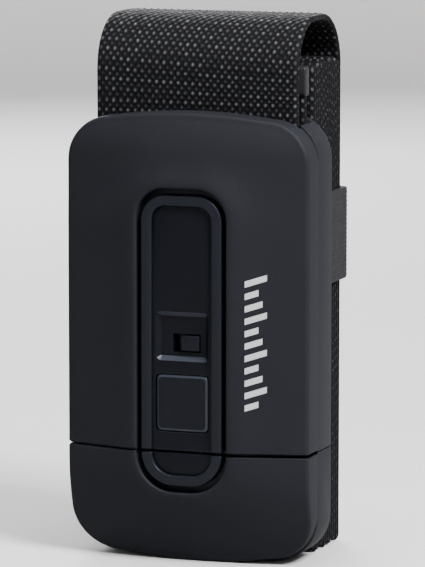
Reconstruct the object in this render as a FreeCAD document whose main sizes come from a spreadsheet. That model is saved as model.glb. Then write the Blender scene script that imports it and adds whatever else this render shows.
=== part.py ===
import FreeCAD, Part
import math
import os
import re

import Sketcher
from FreeCAD import Vector

# A luggage strap: 50 mm webbing folded into a bundle behind its two-part plastic buckle.
# It stands on the tongue end of the buckle. X runs across the webbing, Y from the buckle's
# face (low) back to the bundle (high) and Z up the buckle. All lengths are millimetres.

SIZES = {
    # buckle as a whole
    "buckle_wide": 60,
    "buckle_tall": 106.4,
    "buckle_deep": 22,
    "back_half": 10,  # from the buckle's back to the plane where its covers meet
    "centre_shift": 0.75,  # puts the middle of buckle and bundle on the origin
    "crown_radius": 130,
    "end_radius": 260,
    "end_flat": 0.2,  # how much of the tongue's bowed end is cut flat to stand on
    "corner_radius": 10.5,
    "end_deep": 17,  # from the back to the front face at the housing's free end
    "slope_long": 12,
    "tongue_end_deep": 14,
    "tongue_slope_long": 15,
    "wall": 2,
    "back_wall": 1.8,
    "front_side": 6,  # from the front cover's side to its cavity
    "back_side": 7.4,
    "split_in_panel": 9.7,  # how much of the recess lies in the tongue
    "split_gap": 0.3,
    "split_lip": 0.2,
    # recessed panel in the face
    "recess_wide": 22.3,
    "recess_tall": 71.8,
    "recess_top_radius": 7.2,
    "recess_low_radius": 9,
    "groove_deep": 3.8,
    "flange_thick": 1.2,
    "flange_lap": 1.7,
    "groove_side": 1.2,
    "groove_end": 1.7,
    "ring_drop": 0.9,
    "ring_side": 2.6,
    "ring_end": 2.5,
    "plate_drop": 1.8,
    "insert_gap": 0.1,
    # button and what it presses
    "button_wide": 12.9,
    "button_tall": 13.4,
    "button_radius": 1.2,
    "button_gap": 0.2,
    "button_above": 11.35,  # from the split up to the button's middle
    "button_proud": 0.2,
    "button_flange": 1.4,
    "moving_gap": 0.3,
    "yoke_side_gap": 2,
    "yoke_tall": 8,
    "yoke_thick": 1.2,
    "yoke_leg": 3,
    "return_spring_apart": 34,
    "return_spring_radius": 2.1,
    "spring_wire": 0.5,
    # lock slider
    "dish_wide": 13.1,
    "dish_tall": 11.5,
    "dish_above": 15.75,  # from the button's middle up to the dish's
    "dish_deep": 1.1,
    "dish_lean": 42,  # degrees that the dish's sides lean in
    "lock_slot_wide": 6.8,
    "lock_slot_tall": 4.3,
    "lock_slot_across": 0.75,
    "lock_slot_down": 1.6,
    "nub_wide": 4.6,
    "nub_tall": 3.6,
    "nub_end_gap": 0.1,
    "lock_plate_wide": 12,
    "lock_plate_tall": 8,
    "lock_plate_thick": 1.2,
    "lock_nub_drop": 0.4,
    # blade, catch and chassis
    "blade_wide": 17,
    "root_side": 10,  # from the buckle's side to the blade's root
    "blade_thick": 2,
    "root_tall": 9.85,
    "blade_past": 21.5,  # from the button's middle up to the blade's tip
    "tip_chamfer": 5,
    "window_wide": 8,
    "window_tall": 7,
    "leaf_gap": 1,
    "leaf_thick": 0.6,
    "leaf_wide": 9,
    "leaf_past": 10,
    "ear_wide": 28,
    "ear_tall": 4,
    "tooth_bite": 1.8,
    "chassis_thick": 2,
    "chassis_side_gap": 0.6,
    "chassis_past": 10,
    "guide_gap": 0.3,
    "guide_wide": 4.7,
    "guide_above": 8.5,  # from the button's middle up to the guides
    "guide_tall": 17,
    "boss_wide": 12,
    "boss_tall": 10,
    "retainer_thick": 2,
    "core_above": 2.05,  # from the loop round the anchor bar up to the core
    # bars, rivets and screws
    "bar_radius": 2,
    "bar_inset": 13.4,
    "anchor_inset": 9.2,
    "bar_depth": 7,
    "bar_gap": 0.05,
    "knurl_radius": 1.9,
    "rivet_radius": 2,
    "rivet_apart": 30,
    "rivet_in": 4,
    "screw_inset": 4,
    "screw_radius": 1.2,
    "screw_head": 2.5,
    "screw_head_tall": 1.2,
    "screw_long": 14,
    "screw_off_split": 6.85,
    "screw_down": 28.4,  # from the buckle's end to its upper screws
    "screw_fit": 0.05,
    # webbing
    "web_wide": 50,
    "web_thick": 1.4,
    "web_side_gap": 0.6,
    "layer_gap": 0.15,
    "back_gap": 0.45,
    "run_count": 13,
    "strand_rise": 21.1,  # from the buckle's end to the middle of the upper strand's top
    "arch_radius": 12,
    "arch_drop": 10.5,  # from the upper strand down to the folds under it
    "strand_out": 2,  # how much of the strand outside the housing moves with it
    "stitched_long": 30,
    "tail_out": 3.6,
    "tip_tall": 7,
    "tip_thick": 2.9,
    # keeper
    "keeper_tall": 22,
    "keeper_thick": 1.2,
    "keeper_gap": 0.3,
    "keeper_above": 21.8,  # from the buckle's middle up to the keeper's
}

# Places that follow from the sizes, as formulas in the same words.
PLACES = {
    "back": "0 - centre_shift",
    "parting": "back - back_half",
    "crown": "back - buckle_deep",
    "groove_floor": "crown + groove_deep",
    "insert_back": "groove_floor + flange_thick",
    "ring_front": "crown + ring_drop",
    "plate_front": "crown + plate_drop",
    "button_front": "plate_front - button_proud",
    "flange_front": "insert_back + moving_gap",
    "flange_back": "flange_front + button_flange - moving_gap",
    "yoke_back": "flange_back + yoke_thick",
    "back_floor": "back - back_wall",
    "chassis_front": "back_floor - chassis_thick",
    "blade_front": "parting - blade_thick",
    "leaf_front": "parting + leaf_gap",
    "leaf_back": "leaf_front + leaf_thick",
    "guide_front": "blade_front - blade_thick/2 - moving_gap/2",
    "middle": "buckle_tall/2",
    "ring_wide": "recess_wide - 2*groove_side",
    "ring_tall": "recess_tall - 2*groove_end",
    "plate_wide": "ring_wide - 2*ring_side",
    "plate_tall": "ring_tall - 2*ring_end",
    "split_height": "middle - recess_tall/2 + split_in_panel",
    "split_top": "split_height + split_gap/2",
    "split_low": "split_height - split_gap/2",
    "button_z": "split_top + button_above",
    "dish_z": "button_z + dish_above",
    "lock_z": "dish_z - lock_slot_down",
    "nub_x": "lock_slot_across + lock_slot_wide/2 - nub_wide/2 - nub_end_gap",
    "lock_back": "flange_front + lock_plate_thick",
    "front_cavity_wide": "buckle_wide - 2*front_side",
    "back_cavity_wide": "buckle_wide - 2*back_side",
    "chassis_wide": "back_cavity_wide - 2*chassis_side_gap",
    "yoke_wide": "chassis_wide - 2*yoke_side_gap",
    "blade_root_wide": "buckle_wide - 2*root_side",
    "blade_root_low": "split_low - root_tall",
    "rivet_up": "blade_root_low + rivet_in",
    "blade_tip": "button_z + blade_past",
    "leaf_end": "blade_tip + leaf_past",
    "chassis_top": "leaf_end + chassis_past",
    "guide_low": "button_z + guide_above",
    "guide_top": "guide_low + guide_tall",
    "screw_apart": "buckle_wide - 2*screw_inset",
    "screw_low": "split_top + screw_off_split",
    "screw_high": "buckle_tall - screw_down",
    "tongue_screw_up": "split_low - screw_off_split",
    "web_half": "web_wide/2 + web_side_gap",
    "bar_y": "back - bar_depth",
    "bar_z": "buckle_tall - bar_inset",
    "bar_half": "buckle_wide/2 - wall",
    "turn": "bar_radius + web_thick/2 + bar_gap",
    "strand_y": "bar_y - turn",
    "tail_y": "bar_y + turn",
    "web_front": "strand_y - web_thick/2 - web_side_gap/2",
    "pitch": "web_thick + layer_gap",
    "returned_y": "back + back_gap + web_thick/2",
    "run_first": "returned_y + pitch",
    "run_last": "run_first + (run_count - 1)*pitch",
    "strand_top": "buckle_tall + strand_rise",
    "stack_top": "strand_top - arch_drop",
    "join_z": "buckle_tall + strand_out",
    "tail_top": "buckle_tall + tail_out",
    "loop_low": "anchor_inset - turn",
    "loop_high": "anchor_inset + turn",
    "core_low": "loop_high + core_above",
    "keeper_up": "middle + keeper_above",
}

# How far a cutting sketch reaches past the solid that it cuts.
PAST = 1.0

document = FreeCAD.newDocument("luggage_strap")
sheet = document.addObject("Spreadsheet::Sheet", "Sizes")
for row, (alias, size) in enumerate(SIZES.items(), start=1):
    sheet.set(f"A{row}", alias)
    sheet.set(f"B{row}", str(size))
    sheet.setAlias(f"B{row}", alias)
document.recompute()

parts = []


def sized(text):
    """Turn a formula in this file's words into one in the sheet's cells."""

    def swap(found):
        word = found.group()
        if word in PLACES:
            return f"({sized(PLACES[word])})"
        return f"Sizes.{word}" if word in SIZES else word

    return re.sub(r"[a-z_]+", swap, text)


def value(text):
    return float(sheet.evalExpression(sized(text)))


def centred(wide, at="0"):
    return f"{at} - ({wide})/2", f"{at} + ({wide})/2"


# ---- sketches ---------------------------------------------------------------------------


def sketch_on(body, name, role, out, across="0", up="0"):
    """A sketch on an origin plane of its body, at a place along the plane's axis."""
    plane = next(item for item in body.Origin.OriginFeatures if item.Role == role)
    drawing = body.newObject("Sketcher::SketchObject", f"{body.Name}_{name}")
    drawing.AttachmentSupport = [(plane, "")]
    drawing.MapMode = "FlatFace"
    along = f"0 - ({out})" if role == "XZ_Plane" else out
    drawing.setExpression("AttachmentOffset.Base.x", sized(across))
    drawing.setExpression("AttachmentOffset.Base.y", sized(up))
    drawing.setExpression("AttachmentOffset.Base.z", sized(along))
    return drawing


def tie(drawing, kind, places, text):
    """Add a dimension to a sketch and bind it to a formula."""
    number = drawing.addConstraint(Sketcher.Constraint(kind, *places, value(text)))
    drawing.setExpression(f"Constraints[{number}]", sized(text))


def line(drawing, start, end):
    return drawing.addGeometry(Part.LineSegment(Vector(*start, 0), Vector(*end, 0)), False)


def quarter(drawing, centre, radius, start):
    circle = Part.Circle(Vector(*centre, 0), Vector(0, 0, 1), radius)
    turn = math.pi / 2
    return drawing.addGeometry(Part.ArcOfCircle(circle, start * turn, (start + 1) * turn), False)


def draw_rectangle(drawing, wide, tall):
    x, y = value(wide) / 2, value(tall) / 2
    corners = [(-x, -y), (x, -y), (x, y), (-x, y)]
    for start, end in zip(corners, corners[1:] + corners[:1]):
        line(drawing, start, end)
    for side in range(4):
        drawing.addConstraint(Sketcher.Constraint("Coincident", side, 2, (side + 1) % 4, 1))
    for side, kind in enumerate(("Horizontal", "Vertical", "Horizontal", "Vertical")):
        drawing.addConstraint(Sketcher.Constraint(kind, side))
    drawing.addConstraint(Sketcher.Constraint("Symmetric", 0, 1, 2, 1, -1, 1))
    tie(drawing, "DistanceX", (0, 1, 0, 2), wide)
    tie(drawing, "DistanceY", (1, 1, 1, 2), tall)


def draw_rounded(drawing, wide, tall, radius):
    x, y, r = value(wide) / 2, value(tall) / 2, value(radius)
    line(drawing, (r - x, -y), (x - r, -y))
    quarter(drawing, (x - r, r - y), r, 3)
    line(drawing, (x, r - y), (x, y - r))
    quarter(drawing, (x - r, y - r), r, 0)
    line(drawing, (x - r, y), (r - x, y))
    quarter(drawing, (r - x, y - r), r, 1)
    line(drawing, (-x, y - r), (-x, r - y))
    quarter(drawing, (r - x, r - y), r, 2)
    for edge in range(8):
        drawing.addConstraint(Sketcher.Constraint("Tangent", edge, 2, (edge + 1) % 8, 1))
    for edge, kind in ((0, "Horizontal"), (2, "Vertical"), (4, "Horizontal"), (6, "Vertical")):
        drawing.addConstraint(Sketcher.Constraint(kind, edge))
    for corner in (3, 5, 7):
        drawing.addConstraint(Sketcher.Constraint("Equal", 1, corner))
    drawing.addConstraint(Sketcher.Constraint("Symmetric", 1, 3, 5, 3, -1, 1))
    tie(drawing, "Radius", (1,), radius)
    tie(drawing, "DistanceX", (6, 1, 2, 1), wide)
    tie(drawing, "DistanceY", (0, 1, 4, 2), tall)


def draw_circle(drawing, radius):
    circle = Part.Circle(Vector(0, 0, 0), Vector(0, 0, 1), value(radius))
    drawing.addGeometry(circle, False)
    drawing.addConstraint(Sketcher.Constraint("Coincident", 0, 3, -1, 1))
    tie(drawing, "Radius", (0,), radius)


def draw_polygon(drawing, corners):
    """Straight sides between corners given as pairs of formulas."""
    at = [(value(x), value(y)) for x, y in corners]
    for start, end in zip(at, at[1:] + at[:1]):
        line(drawing, start, end)
    for number, (x, y) in enumerate(corners):
        following = (number + 1) % len(corners)
        drawing.addConstraint(Sketcher.Constraint("Coincident", number, 2, following, 1))
        tie(drawing, "DistanceX", (-1, 1, number, 1), x)
        tie(drawing, "DistanceY", (-1, 1, number, 1), y)


def draw_beyond_arc(drawing, apex, radius, reach, sign):
    """The area beyond an arc that bows up (sign 1) or down (sign -1) to its apex."""
    top, r, half = value(apex), value(radius), value(reach)
    lean = math.acos(half / r)
    centre = Vector(0, top - sign * r, 0)
    angles = (lean, math.pi - lean) if sign > 0 else (math.pi + lean, 2 * math.pi - lean)
    circle = Part.Circle(centre, Vector(0, 0, 1), r)
    arc = drawing.addGeometry(Part.ArcOfCircle(circle, *angles), False)
    level = centre.y + sign * r * math.sin(lean)
    far = top + sign * PAST
    first, second = (half, -half) if sign > 0 else (-half, half)
    line(drawing, (second, level), (second, far))
    line(drawing, (second, far), (first, far))
    line(drawing, (first, far), (first, level))
    for edge in range(4):
        drawing.addConstraint(Sketcher.Constraint("Coincident", edge, 2, (edge + 1) % 4, 1))
    for edge, kind in ((1, "Vertical"), (2, "Horizontal"), (3, "Vertical")):
        drawing.addConstraint(Sketcher.Constraint(kind, edge))
    drawing.addConstraint(Sketcher.Constraint("PointOnObject", arc, 3, -2))
    tie(drawing, "Radius", (arc,), radius)
    tie(drawing, "DistanceY", (-1, 1, arc, 3), f"{apex} - {sign}*({radius})")
    tie(drawing, "DistanceX", (-1, 1, 1, 1), f"{-sign}*({reach})")
    tie(drawing, "DistanceX", (-1, 1, 3, 2), f"{sign}*({reach})")
    tie(drawing, "DistanceY", (-1, 1, 2, 1), f"{apex} + {sign * PAST}")


# ---- features ---------------------------------------------------------------------------


def new_body(label):
    body = document.addObject("PartDesign::Body", label)
    body.Label = label
    parts.append(body)
    return body


def extrude(body, drawing, length, cut=False):
    """Pad or pocket a sketch towards the high side of its plane's axis."""
    facing = drawing.AttachmentSupport[0][0].Role == "XZ_Plane"
    kind = "PartDesign::Pocket" if cut else "PartDesign::Pad"
    feature = body.newObject(kind, f"{drawing.Name}_{'cut' if cut else 'pad'}")
    feature.Profile = drawing
    feature.setExpression("Length", sized(length))
    feature.Reversed = facing != cut
    return feature


def slab(body, name, x, y, z, radius=None, cut=False, along="y"):
    """A block between low and high formulas on each axis, its corners rounded about one."""
    spans = {"x": x, "y": y, "z": z}
    role, wide_axis, tall_axis = {
        "x": ("YZ_Plane", "y", "z"),
        "y": ("XZ_Plane", "x", "z"),
        "z": ("XY_Plane", "x", "y"),
    }[along]
    (left, right), (low, high), (near, far) = spans[wide_axis], spans[tall_axis], spans[along]
    drawing = sketch_on(
        body, name, role, near, f"(({left}) + ({right}))/2", f"(({low}) + ({high}))/2"
    )
    wide, tall = f"({right}) - ({left})", f"({high}) - ({low})"
    if radius:
        draw_rounded(drawing, wide, tall, radius)
    else:
        draw_rectangle(drawing, wide, tall)
    return extrude(body, drawing, f"({far}) - ({near})", cut)


def rod(body, name, along, across, up, span, radius, cut=False):
    """A round bar or hole along an axis, centred on two formulas."""
    role = {"x": "YZ_Plane", "y": "XZ_Plane", "z": "XY_Plane"}[along]
    drawing = sketch_on(body, name, role, span[0], across, up)
    draw_circle(drawing, radius)
    return extrude(body, drawing, f"({span[1]}) - ({span[0]})", cut)


def round_corners(body, feature, radius, chosen):
    """Fillet the edges along Y whose place (x, z) is chosen."""
    document.recompute()
    names = []
    for number, edge in enumerate(feature.Shape.Edges, start=1):
        first, last = edge.Vertexes[0].Point, edge.Vertexes[-1].Point
        upright = abs(first.x - last.x) < 0.01 and abs(first.z - last.z) < 0.01
        if upright and edge.Length > 1 and chosen(first.x, first.z):
            names.append(f"Edge{number}")
    fillet = body.newObject("PartDesign::Fillet", f"{body.Name}_corners")
    fillet.Base = (feature, names)
    fillet.setExpression("Radius", sized(radius))
    return fillet


# ---- covers of the buckle ---------------------------------------------------------------

FULL_WIDTH = centred("buckle_wide")
WEB_WIDTH = ("0 - web_half", "web_half")
REACH = f"buckle_wide/2 + {PAST}"


def end_trim(body, y_from, y_to, sign):
    """Bow the free end of a cover: the housing's top (1) or the tongue's bottom (-1)."""
    apex = "buckle_tall" if sign > 0 else "0 - end_flat"
    drawing = sketch_on(body, "end", "XZ_Plane", y_from)
    draw_beyond_arc(drawing, apex, "end_radius", REACH, sign)
    trimmed = extrude(body, drawing, f"({y_to}) - ({y_from})", cut=True)
    half = value("buckle_wide") / 2

    def at_free_end(x, z):
        far = z > value("middle") if sign > 0 else z < value("split_low") - 1
        return far and abs(abs(x) - half) < 0.01

    return round_corners(body, trimmed, "corner_radius", at_free_end)


def front_blank(body, low, high, sign):
    """A front half without its hollows: crowned across and thinner at its free end."""
    slab(body, "block", FULL_WIDTH, ("crown", "parting"), (low, high))
    end_trim(body, "crown", "parting", sign)
    drawing = sketch_on(body, "crown", "XY_Plane", low)
    draw_beyond_arc(drawing, "crown", "crown_radius", REACH, -1)
    extrude(body, drawing, f"({high}) - ({low})", cut=True)
    edge = "buckle_tall" if sign > 0 else "0"
    deep = "end_deep" if sign > 0 else "tongue_end_deep"
    inner = f"{edge} - slope_long" if sign > 0 else "tongue_slope_long"
    outer = f"{edge} + {sign * PAST}"
    drawing = sketch_on(body, "slope", "YZ_Plane", f"0 - ({REACH})")
    draw_polygon(
        drawing,
        [
            (f"crown - {PAST}", inner),
            ("crown", inner),
            (f"back - {deep}", edge),
            (f"back - {deep}", outer),
            (f"crown - {PAST}", outer),
        ],
    )
    extrude(body, drawing, f"2*({REACH})", cut=True)


def panel_corner(sign, inset):
    """A corner radius of the panel's outlines, inside the housing (1) or the tongue (-1)."""
    corner = "recess_top_radius" if sign > 0 else "recess_low_radius"
    return f"{corner} - ({inset})"


def recess(body, sign):
    """The opening that shows the panel, with a wider seat behind it for the bezel's flange."""
    slab(
        body, "recess", centred("recess_wide"), (f"crown - {PAST}", "groove_floor"),
        centred("recess_tall", "middle"), panel_corner(sign, "0"), cut=True,
    )
    lap = "flange_lap + insert_gap"
    slab(
        body, "panel_seat", centred(f"recess_wide + 2*({lap})"),
        ("groove_floor", "insert_back"),
        centred(f"recess_tall + 2*({lap})", "middle"), panel_corner(sign, f"0 - ({lap})"),
        cut=True,
    )


def screw_holes(body, heights, y_low, y_high, radius, name):
    for number, height in enumerate(heights):
        for side, sign in (("left", -1), ("right", 1)):
            rod(
                body,
                f"{name}_{side}_{number}",
                "y",
                f"{sign}*screw_apart/2",
                height,
                (y_low, y_high),
                radius,
                cut=True,
            )


SHANK_TIP = "back - screw_long"
HOUSING_SCREWS = ("screw_low", "screw_high")
TONGUE_SCREWS = ("tongue_screw_up",)
LOOP_ROOM = ("loop_low - web_thick", "core_low")


def make_front_cover():
    body = new_body("front_cover")
    front_blank(body, "split_top", "buckle_tall", 1)
    recess(body, 1)
    inner = ("groove_floor", "parting")
    panel_top = "middle + recess_tall/2 + flange_lap + insert_gap"
    slab(
        body, "hollow", centred("front_cavity_wide"), inner,
        ("split_top + wall", panel_top), cut=True,
    )
    slab(
        body, "web_way", WEB_WIDTH, ("web_front", "parting"),
        (panel_top, f"buckle_tall + {PAST}"), cut=True,
    )
    slab(
        body, "mouth", centred("blade_wide + 2*guide_gap"),
        ("blade_front - guide_gap/2", "parting"),
        (f"split_top - {PAST}", "split_top + wall"), cut=True,
    )
    screw_holes(body, HOUSING_SCREWS, SHANK_TIP, "parting", "screw_radius + screw_fit", "hole")


def make_tongue_front_cover():
    body = new_body("tongue_front_cover")
    front_blank(body, "0", "split_low", -1)
    recess(body, -1)
    slab(
        body, "hollow", centred("front_cavity_wide"), ("groove_floor", "parting"),
        ("core_low", "split_low - wall"), cut=True,
    )
    slab(body, "web_way", WEB_WIDTH, ("web_front", "parting"), LOOP_ROOM, cut=True)
    slab(
        body, "mouth", centred("blade_wide + 2*guide_gap"), ("blade_front", "parting"),
        ("split_low - wall", f"split_low + {PAST}"), cut=True,
    )
    screw_holes(body, TONGUE_SCREWS, SHANK_TIP, "parting", "screw_radius + screw_fit", "hole")


def head_holes(body, heights):
    """Through holes with round seats for the heads, from the back."""
    screw_holes(body, heights, "parting", "back", "screw_radius + screw_fit", "hole")
    seat = "back - screw_head_tall"
    screw_holes(body, heights, seat, "back", "screw_head + screw_fit", "seat")


def make_back_cover():
    body = new_body("back_cover")
    slab(body, "block", FULL_WIDTH, ("parting", "back"), ("split_top", "buckle_tall"))
    end_trim(body, "parting", "back", 1)
    web_room = "bar_z - turn - web_thick/2 - bar_radius"
    inner = ("parting", "back_floor")
    slab(
        body, "hollow", centred("back_cavity_wide"), inner,
        ("split_top + wall", web_room), cut=True,
    )
    slab(body, "web_way", WEB_WIDTH, inner, (web_room, f"buckle_tall + {PAST}"), cut=True)
    span = ("0 - bar_half", "bar_half")
    rod(body, "bar_hole", "x", "bar_y", "bar_z", span, "bar_radius + bar_gap", cut=True)
    head_holes(body, HOUSING_SCREWS)


def make_tongue_back_cover():
    body = new_body("tongue_back_cover")
    slab(body, "block", FULL_WIDTH, ("parting", "back"), ("0", "split_low"))
    end_trim(body, "parting", "back", -1)
    slab(body, "web_way", WEB_WIDTH, ("parting", "back_floor"), LOOP_ROOM, cut=True)
    slab(
        body, "rear_slot", WEB_WIDTH, ("back_floor", "back"),
        (LOOP_ROOM[0], "loop_high + web_thick"), cut=True,
    )
    span = ("0 - bar_half", "bar_half")
    rod(
        body, "bar_hole", "x", "bar_y", "anchor_inset", span,
        "bar_radius + bar_gap", cut=True,
    )
    for side, sign in (("left", -1), ("right", 1)):
        rod(
            body, f"rivet_{side}", "y", f"{sign}*rivet_apart/2", "rivet_up",
            ("parting", "parting + rivet_radius"), "rivet_radius + screw_fit", cut=True,
        )
    head_holes(body, TONGUE_SCREWS)


# ---- recessed panel: bezel ring and face plate, each split between housing and tongue ----


def make_bezel(label, sign):
    body = new_body(label)
    flange = "flange_lap"
    slab(
        body, "flange", centred(f"recess_wide + 2*{flange}"), ("groove_floor", "insert_back"),
        centred(f"recess_tall + 2*{flange}", "middle"), panel_corner(sign, f"0 - {flange}"),
    )
    slab(
        body, "ring", centred("ring_wide"), ("ring_front", "groove_floor"),
        centred("ring_tall", "middle"), panel_corner(sign, "groove_side"),
    )
    slab(
        body, "opening", centred("plate_wide + 2*insert_gap"),
        (f"ring_front - {PAST}", "insert_back"),
        centred("plate_tall + 2*insert_gap", "middle"),
        panel_corner(sign, "groove_side + ring_side - insert_gap"), cut=True,
    )
    cut_at_split(body, sign)


def cut_at_split(body, sign):
    """Keep the housing's share (1) or the tongue's (-1) of a panel piece drawn whole."""
    low, high = f"0 - {PAST}", f"buckle_tall + {PAST}"
    across = (low, "split_top + split_lip") if sign > 0 else ("split_low - split_lip", high)
    slab(body, "away", FULL_WIDTH, (f"crown - {PAST}", "parting"), across, cut=True)


def plate_blank(body, sign):
    slab(
        body, "plate", centred("plate_wide"), ("plate_front", "insert_back"),
        centred("plate_tall", "middle"), panel_corner(sign, "groove_side + ring_side"),
    )


def make_face_plate():
    body = new_body("face_plate")
    plate_blank(body, 1)
    slab(
        body, "button_way", centred("button_wide + 2*button_gap"),
        (f"plate_front - {PAST}", "insert_back"),
        centred("button_tall + 2*button_gap", "button_z"), "button_radius + button_gap",
        cut=True,
    )
    dish = slab(
        body, "dish", centred("dish_wide"), ("plate_front", "plate_front + dish_deep"),
        centred("dish_tall", "dish_z"), "button_radius", cut=True,
    )
    dish.setExpression("TaperAngle", sized("0 - dish_lean"))
    slab(
        body, "lock_slot", centred("lock_slot_wide", "lock_slot_across"),
        ("plate_front", "insert_back"), centred("lock_slot_tall", "lock_z"), cut=True,
    )
    cut_at_split(body, 1)


def make_tongue_face_plate():
    body = new_body("tongue_face_plate")
    plate_blank(body, -1)
    cut_at_split(body, -1)


# ---- button, yoke and return springs ----------------------------------------------------


def make_release_button():
    body = new_body("release_button")
    slab(
        body, "cap", centred("button_wide"), ("button_front", "flange_front"),
        centred("button_tall", "button_z"), "button_radius",
    )
    slab(
        body, "flange", centred("button_wide + 2*wall"), ("flange_front", "flange_back"),
        centred("button_tall + wall", "button_z"), "button_radius",
    )


def make_release_yoke():
    """A bridge behind the button, with a leg each side of the blade that reaches the leaf."""
    body = new_body("release_yoke")
    slab(
        body, "bridge", centred("yoke_wide"), ("flange_back", "yoke_back"),
        centred("yoke_tall", "button_z"), "wall",
    )
    leg_in = "blade_wide/2 + wall"
    for side, sign in (("left", -1), ("right", 1)):
        middle = f"{sign}*({leg_in} + yoke_leg/2)"
        slab(
            body, f"leg_{side}", centred("yoke_leg", middle),
            ("yoke_back", "leaf_front - moving_gap/2"), centred("ear_tall", "button_z"),
        )


def make_return_spring(label, sign):
    body = new_body(label)
    across, span = f"{sign}*return_spring_apart/2", ("yoke_back", "chassis_front")
    rod(body, "coil", "y", across, "button_z", span, "return_spring_radius")
    inside = "return_spring_radius - spring_wire"
    rod(body, "inside", "y", across, "button_z", span, inside, cut=True)


# ---- lock slider ------------------------------------------------------------------------


def make_lock_slider():
    body = new_body("lock_slider")
    slab(
        body, "plate", centred("lock_plate_wide", "nub_x"), ("flange_front", "lock_back"),
        centred("lock_plate_tall", "lock_z"), "button_radius",
    )
    slab(
        body, "nub", centred("nub_wide", "nub_x"),
        ("plate_front + lock_nub_drop", "flange_front"), centred("nub_tall", "lock_z"),
    )


def make_slider_retainer():
    body = new_body("slider_retainer")
    slab(
        body, "plate", centred("blade_wide + 2*guide_gap + 2*guide_wide"),
        ("guide_front - retainer_thick", "guide_front"), ("guide_low", "dish_z + wall"),
    )


# ---- chassis, catch and blade -----------------------------------------------------------


def make_chassis():
    body = new_body("chassis")
    slab(
        body, "base", centred("chassis_wide"), ("chassis_front", "back_floor"),
        ("split_top + wall", "chassis_top"),
    )
    for side, sign in (("left", -1), ("right", 1)):
        middle = f"{sign}*(blade_wide/2 + guide_gap + guide_wide/2)"
        slab(
            body, f"guide_{side}", centred("guide_wide", middle),
            ("guide_front", "chassis_front"), ("guide_low", "guide_top"),
        )
    slab(
        body, "boss", centred("boss_wide"), ("leaf_back", "chassis_front"),
        ("blade_tip + wall", "blade_tip + wall + boss_tall"),
    )
    rod(
        body, "screw_hole", "y", "0", "leaf_end - boss_tall/4",
        ("leaf_back", "chassis_front"), "screw_radius + screw_fit", cut=True,
    )


def make_catch_spring():
    """A steel leaf with side ears for the yoke and a tooth that stands in the blade."""
    body = new_body("catch_spring")
    across = ("leaf_front", "leaf_back")
    low = "button_z - ear_tall/2"
    slab(body, "leaf", centred("leaf_wide"), across, (low, "leaf_end"))
    slab(body, "ears", centred("ear_wide"), across, centred("ear_tall", "button_z"))
    slab(
        body, "tooth", centred("window_wide - 2*guide_gap"),
        ("parting - tooth_bite", "leaf_front"),
        centred("window_tall - 2*guide_gap", "button_z"),
    )
    rod(
        body, "screw_hole", "y", "0", "leaf_end - boss_tall/4", across,
        "screw_radius + screw_fit", cut=True,
    )


def make_tongue_blade():
    body = new_body("tongue_blade")
    across = ("blade_front", "parting")
    tip_low = "blade_tip - tip_chamfer"
    slab(body, "root", centred("blade_root_wide"), across, ("blade_root_low", "split_low - wall"))
    slab(body, "shaft", centred("blade_wide"), across, ("blade_root_low", tip_low))
    drawing = sketch_on(body, "tip", "XZ_Plane", "blade_front")
    draw_polygon(
        drawing,
        [
            ("0 - blade_wide/2", tip_low),
            ("blade_wide/2", tip_low),
            ("blade_wide/2 - tip_chamfer/2", "blade_tip"),
            ("tip_chamfer/2 - blade_wide/2", "blade_tip"),
        ],
    )
    extrude(body, drawing, "blade_thick")
    slab(
        body, "window", centred("window_wide"), across,
        centred("window_tall", "button_z"), cut=True,
    )
    for side, sign in (("left", -1), ("right", 1)):
        rod(
            body, f"rivet_{side}", "y", f"{sign}*rivet_apart/2", "rivet_up", across,
            "rivet_radius + screw_fit", cut=True,
        )


def make_tongue_core():
    """The block that presses the blade's root against the back cover."""
    body = new_body("tongue_core")
    slab(
        body, "block", centred("front_cavity_wide - 2*insert_gap"),
        ("insert_back", "blade_front"), ("core_low", "split_low - wall"),
    )
    for side, sign in (("left", -1), ("right", 1)):
        rod(
            body, f"rivet_{side}", "y", f"{sign}*rivet_apart/2", "rivet_up",
            ("blade_front - rivet_radius", "blade_front"), "rivet_radius + screw_fit",
            cut=True,
        )


def make_rivet(label, sign):
    body = new_body(label)
    rod(
        body, "pin", "y", f"{sign}*rivet_apart/2", "rivet_up",
        ("blade_front - rivet_radius", "parting + rivet_radius"), "rivet_radius",
    )


# ---- screws and bars --------------------------------------------------------------------


def make_screw(label, across, up, tip, head_low, head_high):
    body = new_body(label)
    rod(body, "shank", "y", across, up, (tip, head_low), "screw_radius")
    rod(body, "head", "y", across, up, (head_low, head_high), "screw_head")


def make_cover_screws(name, heights):
    seat = "back - screw_head_tall"
    for number, height in enumerate(heights):
        for side, sign in (("left", -1), ("right", 1)):
            label = f"{name}_{side}_{number + 1}"
            make_screw(label, f"{sign}*screw_apart/2", height, SHANK_TIP, seat, "back")


def make_catch_screw():
    """A low round head on the leaf, with its shank in the chassis boss."""
    body = new_body("catch_screw")
    up = "leaf_end - boss_tall/4"
    rod(body, "shank", "y", "0", up, ("leaf_front", "chassis_front"), "screw_radius")
    head = ("leaf_front - leaf_gap", "leaf_front")
    rod(body, "head", "y", "0", up, head, "screw_head")


def make_bar(label, up):
    """A steel bar whose middle, under the webbing, is turned down a little and knurled."""
    body = new_body(label)
    rod(body, "core", "x", "bar_y", up, ("0 - bar_half", "bar_half"), "knurl_radius")
    ends = (("0 - bar_half", "0 - web_half"), ("web_half", "bar_half"))
    for side, span in zip(("left", "right"), ends):
        rod(body, f"end_{side}", "x", "bar_y", up, span, "bar_radius")


# ---- webbing ----------------------------------------------------------------------------


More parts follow.
